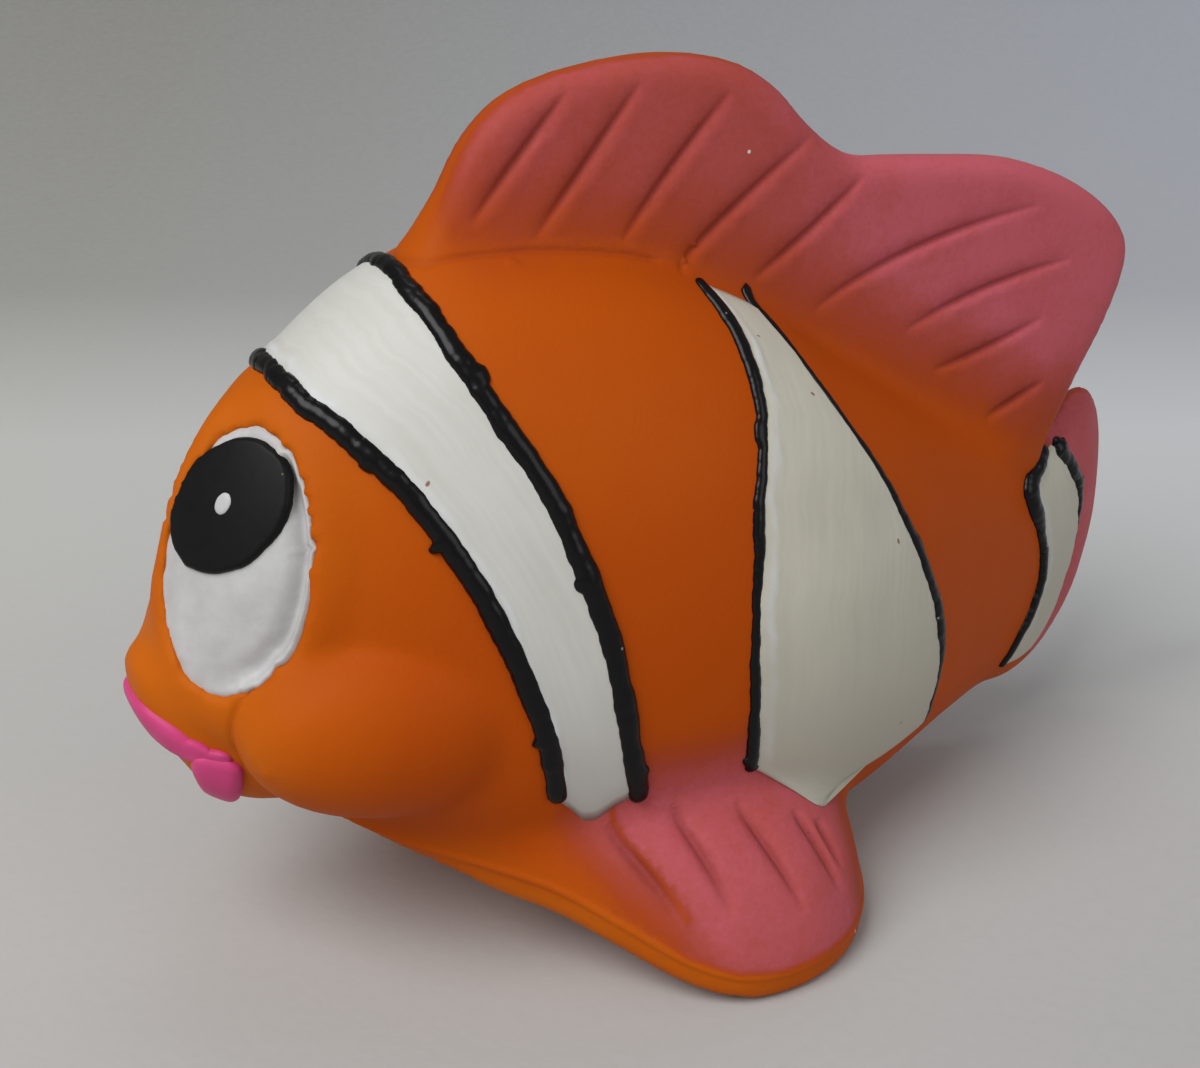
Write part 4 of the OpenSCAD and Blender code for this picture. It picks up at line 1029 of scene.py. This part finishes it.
def coat(name, band, rows, columns, material, holds=None, seed=1, ends=None):
    # White paint between two lines: a rounded layer whose edges go under the black beads. Holds are pairs of
    # a drop and the place along the length that the front line keeps behind; ends are pairs of a share
    # across the band and the drop at which its lower end lies there
    v = (1 - np.cos(np.linspace(0, math.pi, columns))) / 2
    drops = np.asarray(rows, float)[:, None] + 0 * v
    if ends is not None:
        last = np.abs(rows).max()
        drops = drops * (1 + (np.interp(v, *zip(*ends)) / last - 1) * smooth(0.6, 1, np.abs(drops) / last))
    front = lineX(band, 1, drops[:, 0]) + coats["under"] * wobble(np.arange(len(rows)) * 0.25, seed)
    rear = lineX(band, 2, drops[:, -1]) - coats["under"] * wobble(np.arange(len(rows)) * 0.22, seed + 5)
    if holds is not None:
        front = np.maximum(front, length * np.interp(np.abs(drops[:, 0]), *zip(*holds)))
    rear = np.maximum(rear, front + 0.3)
    x = mix(front[:, None], rear[:, None], v)
    place, out = over(x, drops), outward(x, drops)
    place = onSkin(place, out)
    steps = np.linalg.norm(np.diff(place, axis=0), axis=-1).mean(1)
    along = np.pad(np.cumsum(steps), (1, 0))
    across = np.pad(np.cumsum(np.linalg.norm(np.diff(place, axis=1), axis=-1), 1), [(0, 0), (1, 0)])
    toEnd = np.minimum(along, along[-1] - along)[:, None]
    edge = np.minimum(np.minimum(across, across[:, -1:] - across), toEnd)
    near = np.clip(edge / coats["round"], 0, 1)
    lift = coats["thickness"] * np.sqrt(1 - (1 - near) ** 2)
    # The brush ridge lifts the paint and is also the mask of its painted highlight
    ridge = np.exp(-((across - coats["ridgeAt"]) / coats["ridgeHalf"]) ** 2)
    ridge = ridge * (0.6 + 0.4 * wobble(along * 0.5, seed)[:, None])
    ridge = ridge * smooth(3, 9, across[:, -1:]) * smooth(0, 12, along[-1] - along)[:, None]
    lift = lift + coats["ridge"] * ridge
    top = place + out * lift[..., None]
    bottom = place - out * coats["sunk"]
    points, faces = loftMesh(np.concatenate([top, bottom[:, ::-1]], 1))
    piece = makeObject(name, points, faces, material)
    # The stroke's coordinates and the painted highlight of its ridge, over the top and the underside; the two
    # end points have none
    both = np.concatenate([across, across[:, ::-1]], 1)
    uv, ridgeHighlight = np.zeros((len(points), 2)), np.zeros(len(points))
    uv[:-2] = np.stack([along[:, None] + 0 * both, both], -1).reshape(-1, 2)
    ridgeHighlight[:-2] = np.concatenate([ridge, 0 * ridge], 1).ravel()
    setAttribute(piece, "ridge", ridgeHighlight)
    stroke = piece.data.uv_layers.new(name="stroke")
    corner = np.zeros(len(piece.data.loops), int)
    piece.data.loops.foreach_get("vertex_index", corner)
    stroke.data.foreach_set("uv", uv[corner].astype(np.float32).ravel())
    return piece


headEnd = 0.72
headEnds = [(0, 0.735), (0.15, 0.742), (0.35, 0.757), (0.5, 0.75), (0.7, 0.722), (0.9, 0.702), (1, 0.7)]
spread = np.linspace(-1, 1, 161)
headRows = np.sign(spread) * headEnd * spread**2
piece = coat("head_band_paint", "head", headRows, 26, headWhite, seed=2, ends=headEnds)
finishPiece(piece, "head_band")
flankHolds = [(0, -0.1), (0.66, -0.1), (0.67, -0.042), (0.698, -0.019), (0.738, 0.016), (0.748, 0.027)]
flankEnds = [(0, 0.748), (0.1, 0.755), (0.22, 0.768), (0.4, 0.782), (0.6, 0.793), (1, 0.8)]
for side, name in ((-1, "left"), (1, "right")):
    rows = np.linspace(0.016, 0.8, 110) * side
    piece = coat("flank_band_paint_" + name, "flank", rows, 26, flankWhite, flankHolds, 3 + side, flankEnds)
    finishPiece(piece, "flank_band_" + name)
    rows = np.linspace(0.06, 0.88, 80) * side
    piece = coat("tail_band_paint_" + name, "tail", rows, 16, flankWhite, seed=7 + side)
    finishPiece(piece, "tail_band_" + name)
print("white bands done")


# Black beads: Geometry Nodes sweep a flattened bead along a path, thick and thin as the hand squeezed
def beadTree():
    tree = bpy.data.node_groups.new("squeezedBead", "GeometryNodeTree")
    kinds = {"Geometry": "Geometry", "Width": "Float", "Height": "Float", "Step": "Float", "Waver": "Float",
             "Lump Size": "Float", "Seed": "Int", "Material": "Material"}
    for name, kind in kinds.items():
        tree.interface.new_socket(name, in_out="INPUT", socket_type="NodeSocket" + kind)
    tree.interface.new_socket("Geometry", in_out="OUTPUT", socket_type="NodeSocketGeometry")
    given = addNode(tree, "NodeGroupInput").outputs
    out, drip, squeeze = (
        addNode(tree, "GeometryNodeInputNamedAttribute", {"data_type": kind, "Name": name})
        for name, kind in (("out", "FLOAT_VECTOR"), ("drip", "FLOAT_VECTOR"), ("squeeze", "FLOAT")))
    curve = addNode(tree, "GeometryNodeMeshToCurve", {"Mesh": given["Geometry"]})
    curve = addNode(tree, "GeometryNodeResampleCurve",
                    {"mode": "LENGTH", "Curve": curve, "Length": given["Step"]})
    curve = addNode(tree, "GeometryNodeSetCurveNormal", {"mode": "FREE", "Curve": curve, "Normal": out})
    place = addNode(tree, "GeometryNodeInputPosition").outputs[0]
    pace = addNode(tree, "ShaderNodeMath", {"operation": "DIVIDE", 0: 1.0, 1: given["Lump Size"]})
    lumps = addNode(tree, "ShaderNodeTexNoise",
                    {"noise_dimensions": "4D", "Vector": place, "W": given["Seed"], "Scale": pace})
    lumps = addNode(tree, "ShaderNodeMath", {"operation": "SUBTRACT", 0: lumps, 1: 0.5})
    scale = addNode(tree, "ShaderNodeMath", {"operation": "MULTIPLY_ADD", 0: lumps, 1: given["Waver"], 2: 1})
    scale = addNode(tree, "ShaderNodeMath", {"operation": "MULTIPLY", 0: squeeze, 1: scale})
    circle = addNode(tree, "GeometryNodeCurvePrimitiveCircle", {"Resolution": 14, "Radius": 1.0})
    flat = addNode(tree, "ShaderNodeSeparateXYZ", {0: place}).outputs
    wide = addNode(tree, "ShaderNodeMath", {"operation": "MULTIPLY", 0: given["Width"], 1: 0.5})
    wide = addNode(tree, "ShaderNodeMath", {"operation": "MULTIPLY", 0: flat[1], 1: wide})
    tall = addNode(tree, "ShaderNodeMath", {"operation": "MAXIMUM", 0: flat[0], 1: -0.25})
    tall = addNode(tree, "ShaderNodeMath", {"operation": "MULTIPLY", 0: tall, 1: given["Height"]})
    section = addNode(tree, "ShaderNodeCombineXYZ", {0: tall, 1: wide})
    section = addNode(tree, "GeometryNodeSetPosition", {"Geometry": circle, "Position": section})
    shape = addNode(tree, "GeometryNodeCurveToMesh",
                    {"Fill Caps": True, "Curve": curve, "Profile Curve": section, "Scale": scale})
    # Drips: where the paint ran out sideways, the side of the bead that faces the drip is pushed along it
    facing = addNode(tree, "GeometryNodeInputNormal")
    toward = addNode(tree, "ShaderNodeVectorMath", {"operation": "NORMALIZE", 0: drip})
    agree = addNode(tree, "ShaderNodeVectorMath", {"operation": "DOT_PRODUCT", 0: facing, 1: toward})
    only = addNode(tree, "ShaderNodeMath", {"operation": "MAXIMUM", 0: agree.outputs["Value"], 1: 0.0})
    push = addNode(tree, "ShaderNodeVectorMath", {"operation": "SCALE", 0: drip, "Scale": only})
    finish = {"GeometryNodeSetPosition": {"Offset": push}, "GeometryNodeSetShadeSmooth": {},
              "GeometryNodeRealizeInstances": {}, "GeometryNodeSetMaterial": {"Material": given["Material"]},
              "NodeGroupOutput": {}}
    for kind, settings in finish.items():
        shape = addNode(tree, kind, {"Geometry": shape, **settings})
    return tree


beads = {"Width": 2.15 * mm, "Height": 0.85 * mm, "Step": 0.22 * mm, "Waver": 0.32, "Lump Size": 3.2 * mm}
squeezedBead = beadTree()


def bead(name, path, seed, drips=(), settings=beads):
    # A path holds places along x in millimetres, drops, and how hard the bottle was squeezed there;
    # a drip is its place as a share of the path, its reach to the rear in millimetres, and its breadth
    path = np.asarray(path, float)
    t = np.linspace(0, len(path) - 1, 24 * len(path))
    keyed = np.column_stack([np.arange(len(path)), path])
    x, drop, squeeze = (readTable(keyed, t, k) for k in (1, 2, 3))
    x = x + 0.12 * wobble(t * 2.1, seed)
    place, out = over(x, drop), outward(x, drop)
    place = onSkin(place, out)
    along = np.concatenate([[0], np.cumsum(np.linalg.norm(np.diff(place, axis=0), axis=1))])
    squeeze = squeeze * (1 + 0.07 * wobble(along * 0.9, seed + 2))
    fromEnd = np.minimum(along, along[-1] - along) / (squeeze * settings["Width"] / mm / 2)
    squeeze = squeeze * np.sqrt(np.maximum(1 - (1 - np.clip(fromEnd, 0, 1)) ** 2, 0.02))
    run = unit(np.gradient(place, axis=0))
    rearward = np.cross(run, out)
    rearward = rearward * np.where(rearward[:, :1] < 0, -1, 1)
    drip = np.zeros((len(t), 3))
    for at, far, breadth in drips:
        drip += rearward * (far * np.exp(-((along - at * along[-1]) / breadth) ** 4))[:, None]
    mesh = bpy.data.meshes.new(name)
    mesh.from_pydata((place * mm).tolist(), [(k, k + 1) for k in range(len(t) - 1)], [])
    for title, values in (("out", out), ("drip", drip * mm)):
        attribute = mesh.attributes.new(title, "FLOAT_VECTOR", "POINT")
        attribute.data.foreach_set("vector", values.astype(np.float32).ravel())
    attribute = mesh.attributes.new("squeeze", "FLOAT", "POINT")
    attribute.data.foreach_set("value", squeeze.astype(np.float32))
    route = addObject(name + "_route", mesh)
    modifier = route.modifiers.new("bead", "NODES")
    modifier.node_group = squeezedBead
    inputs = {item.name: item.identifier for item in squeezedBead.interface.items_tree
              if item.in_out == "INPUT"}
    for key, value in {**settings, "Seed": seed, "Material": black}.items():
        modifier[inputs[key]] = value
    bpy.context.view_layer.update()
    grown = route.evaluated_get(bpy.context.evaluated_depsgraph_get())
    result = bpy.data.meshes.new_from_object(grown)
    bpy.data.objects.remove(route)
    result.name = name
    return addObject(name, result)


def linePath(band, column, drops, squeezes):
    # The bead follows one edge of a band; squeezes are pairs of share along the line and thickness
    drops = np.asarray(drops, float)
    shares = np.linspace(0, 1, len(drops))
    return np.column_stack([lineX(band, column, drops), drops, np.interp(shares, *zip(*squeezes))])


turn = np.linspace(-1, 1, 33)
headDrips = {"front": [(0.07, -0.5, 0.5), (0.27, -0.75, 0.55), (0.36, -0.35, 0.8), (0.62, 0.4, 0.6)],
             "rear": [(0.03, 0.3, 0.5), (0.2, -0.35, 0.6), (0.37, 0.5, 0.9), (0.68, 0.45, 0.7)]}
headSqueezes = [(0, 0.95), (0.03, 1), (0.1, 1.02), (0.3, 0.95), (0.5, 0.9), (0.7, 0.95), (0.9, 1.05),
                (0.97, 1.12), (1, 1)]
for column, name, end, seed in ((1, "front", 0.738, 11), (2, "rear", 0.705, 23)):
    drops = np.sign(turn) * end * turn**2
    piece = bead("head_bead_" + name, linePath("head", column, drops, headSqueezes), seed, headDrips[name])
    finishPiece(piece, "head_line_" + name)
flankBeads = [
    # Band, line, column, ends, squeezes, drips
    ("flank", "front", 1, (0.014, 0.675),
     [(0, 0.55), (0.04, 0.72), (0.2, 0.62), (0.3, 0.5), (0.4, 0.62), (0.6, 0.45), (0.75, 0.5), (0.93, 0.62),
      (1, 0.7)],
     [(0.33, -0.3, 0.9), (0.97, -0.45, 0.5), (0.99, 0.3, 0.3)]),
    ("flank", "rear", 2, (0.008, 0.81),
     [(0, 0.62), (0.03, 0.62), (0.06, 0.45), (0.3, 0.6), (0.5, 0.76), (0.65, 0.8), (0.8, 0.45), (0.93, 0.35),
      (0.97, 0.6), (1, 0.3)],
     [(0.02, 0.3, 0.5), (0.55, 0.25, 1.2), (0.96, 0.45, 0.5)]),
    ("tail", "front", 1, (0.04, 0.89),
     [(0, 0.8), (0.06, 0.95), (0.14, 1.15), (0.24, 1.05), (0.34, 0.65), (0.5, 0.74), (0.7, 0.74),
      (0.85, 0.6), (1, 0.5)],
     [(0.2, -0.5, 1.4)]),
    ("tail", "rear", 2, (0.05, 0.87),
     [(0, 1.0), (0.05, 1.1), (0.12, 0.85), (0.3, 1.0), (0.42, 0.65), (0.6, 0.32), (0.8, 0.25), (1, 0.2)],
     [(0.04, 0.5, 0.6), (0.3, 0.35, 0.7)]),
]
for side, sideName in ((-1, "left"), (1, "right")):
    for k, (band, name, column, ends, squeezes, drips) in enumerate(flankBeads):
        path = linePath(band, column, np.linspace(*ends, 20) * side, squeezes)
        piece = bead(f"{band}_bead_{name}_{sideName}", path, 31 + 10 * k + side, drips)
        finishPiece(piece, f"{band}_line_{name}_{sideName}")
print("black beads done")


for side, sideName in ((1, "left"), (-1, "right")):
    for title, node, material, slot, centre, half, lean, liftAt, base, seed, waver, nicks in eyeLayers:
        shift = eye["rightShift"] * (side < 0 and base > 0)
        rings = layer((centre[0] - shift, centre[1]), half, lean, liftAt, base, seed, waver, nicks=nicks,
                      under=0.25 if base else 1.4, dip=eye["rightDip"] * (side < 0))
        points, faces = loftMesh(rings * [1, side, 1])
        finishPiece(makeObject(title + sideName, points, faces, material), node + sideName)
print("eyes done")

# Lips: share from the middle to a corner, place along the length, drop, width and height in millimetres
lips = {
    "upper": [
        (0, -0.4945, 1, 4.2, 0.6), (0.2, -0.491, 0.9, 4.1, 0.65), (0.4, -0.481, 0.8, 3.7, 0.65),
        (0.6, -0.4695, 0.76, 2.6, 0.6), (0.8, -0.454, 0.745, 1.8, 0.6), (1, -0.441, 0.74, 1.4, 0.5),
    ],
    "lower": [
        (0, -0.4445, 1, 3.2, 0.6), (0.25, -0.4465, 0.95, 3.8, 0.85), (0.5, -0.4495, 0.88, 4.4, 1.1),
        (0.75, -0.4515, 0.81, 4.8, 1.05), (1, -0.45, 0.735, 4.2, 0.8),
    ],
}


def lip(name):
    e = np.linspace(-1, 1, 121)
    columns = [readTable(lips[name], np.abs(e), k) for k in (1, 2, 3, 4)]
    x, drop = length * columns[0], np.where(e < 0, -1, 1) * columns[1]
    place, out = over(x, drop), outward(x, drop)
    run = unit(np.gradient(place, axis=0))
    aside = unit(np.cross(run, out))
    ending = rounded(np.abs(e), 0.12)
    a = np.linspace(0, math.pi, 15)
    wide = (columns[2] / 2 * np.maximum(ending, 0.15))[:, None] * np.cos(a)
    spots = place[:, None] + aside[:, None] * wide[..., None]
    spots = onSkin(spots, out[:, None], 3)
    high = (columns[3] * np.maximum(ending, 0.1))[:, None] * np.clip(1.3 * np.sin(a), 0, 1) ** 0.6
    top = spots + out[:, None] * high[..., None]
    bottom = spots - out[:, None] * 0.3
    return loftMesh(np.concatenate([top, bottom[:, ::-1]], 1))


for name in ("upper", "lower"):
    points, faces = lip(name)
    finishPiece(makeObject("lip_paint_" + name, points, faces, magenta), "lip_" + name)
print("lips done")

# Squeaker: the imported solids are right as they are, and take their finish here
squeaker = {"squeaker_barrel": plastic, "reed_block": plastic, "reed_wedge": plastic, "reed": brass}
for name, material in squeaker.items():
    nodes[name].data.materials.clear()
    nodes[name].data.materials.append(material)

# Floor that sweeps up to a backdrop
stage = {"half": 1.6, "rise": 1.1, "bend": 0.3, "back": 0.2, "turn": math.radians(26)}


def makeFloor():
    # Its tones follow the photograph: lighter where it bends up, darker near the front and high behind
    material, tree, place = newMaterial("paper_backdrop")
    fibres = addNode(tree, "ShaderNodeTexNoise", {"Vector": place, "Scale": scaleOf(1.5), "Detail": 4})
    turned = addNode(tree, "ShaderNodeVectorRotate",
                     {"rotation_type": "Z_AXIS", "Angle": stage["turn"], "Vector": place})
    across, back = addNode(tree, "ShaderNodeSeparateXYZ", {0: turned}).outputs[:2]
    behind = addNode(tree, "ShaderNodeMapRange", {0: back, 1: -0.05, 2: 0.45})
    # Painted light and shade on the paper: each run of tones stands for how the light falls, cooler on the
    # right
    left = [(0.03, "BEBCB8"), (0.1, "C4C2BE"), (0.32, "C4C4BF"), (0.48, "A09F9A"), (0.95, "787773")]
    right = [(0.03, "A6A6A6"), (0.12, "B0B1B1"), (0.25, "CACCCE"), (0.33, "CCCFD3"), (0.48, "B2B5BC"),
             (0.95, "979BA5")]
    left, right = (setColours(addNode(tree, "ShaderNodeValToRGB", {0: behind}), steps)
                   for steps in (left, right))
    aside = addNode(tree, "ShaderNodeMapRange", {0: across, 1: -0.12, 2: 0.16})
    soft = addNode(tree, "ShaderNodeMath", {"operation": "MULTIPLY", 0: fibres, 1: 0.12})
    colour = layColours(tree, left, (aside, right), (soft, "D8D7D5"))
    finishMaterial(tree, {"Base Color": colour, "Roughness": 0.9, "Specular IOR Level": 0.2}, fibres, 0.05)
    away = np.array([math.sin(stage["turn"]), math.cos(stage["turn"])])
    beside = np.array([away[1], -away[0]])
    profile = [(-1.0, 0)] + [(stage["back"] + stage["bend"] * math.sin(a), stage["bend"] * (1 - math.cos(a)))
                             for a in np.linspace(0, math.pi / 2, 24)]
    profile.append((stage["back"] + stage["bend"], stage["rise"]))
    points, faces = [], []
    for s, z in profile:
        for t in (-stage["half"], stage["half"]):
            points.append((*(away * s + beside * t) / mm, z / mm))
    for k in range(len(profile) - 1):
        faces.append((2 * k, 2 * k + 1, 2 * k + 3, 2 * k + 2))
    floor = makeObject("paper_sweep", points, faces, material)


makeFloor()

# Camera and soft lights
camera = {"azimuth": -26, "elevation": 24, "distance": 191, "target": (-10.4, 0, 35), "angle": 34}


def makeCamera():
    a, e = math.radians(camera["azimuth"]), math.radians(camera["elevation"])
    back = Vector((math.sin(a) * math.cos(e), -math.cos(a) * math.cos(e), math.sin(e)))
    right = Vector((math.cos(a), math.sin(a), 0))
    up = back.cross(right)
    data = bpy.data.cameras.new("camera")
    data.sensor_fit = "HORIZONTAL"
    data.angle = math.radians(camera["angle"])
    data.clip_start = 0.01
    view = addObject("camera", data)
    turned = Matrix((right, up, back)).transposed().to_4x4()
    place = (Vector(camera["target"]) + back * camera["distance"]) * mm
    view.matrix_world = Matrix.Translation(place) @ turned
    bpy.context.scene.camera = view


makeCamera()
lamps = [
    # Name, place, size, watts: a broad window over the left shoulder, a fill, and a weak lamp behind
    ("window", (-0.75, -0.3, 0.95), 0.9, 11.3),
    ("fill", (0.5, -1.0, 0.6), 0.9, 3.1),
    ("behind", (0.2, 0.6, 1.0), 0.7, 3),
]
for name, place, size, power in lamps:
    data = bpy.data.lights.new(name, "AREA")
    data.energy = power
    data.shape = "DISK"
    data.size = size
    lamp = addObject(name, data)
    lamp.location = place
    lamp.rotation_euler = (Vector((0, 0, 0.03)) - Vector(place)).to_track_quat("-Z", "Y").to_euler()
world = bpy.data.worlds.new("studio")
world.use_nodes = True
world.node_tree.nodes["Background"].inputs["Color"].default_value = hexColour("D8DADC")
world.node_tree.nodes["Background"].inputs["Strength"].default_value = 0.42
bpy.context.scene.world = world
bpy.context.scene.view_settings.view_transform = "Standard"
print("stage, camera and lights done")
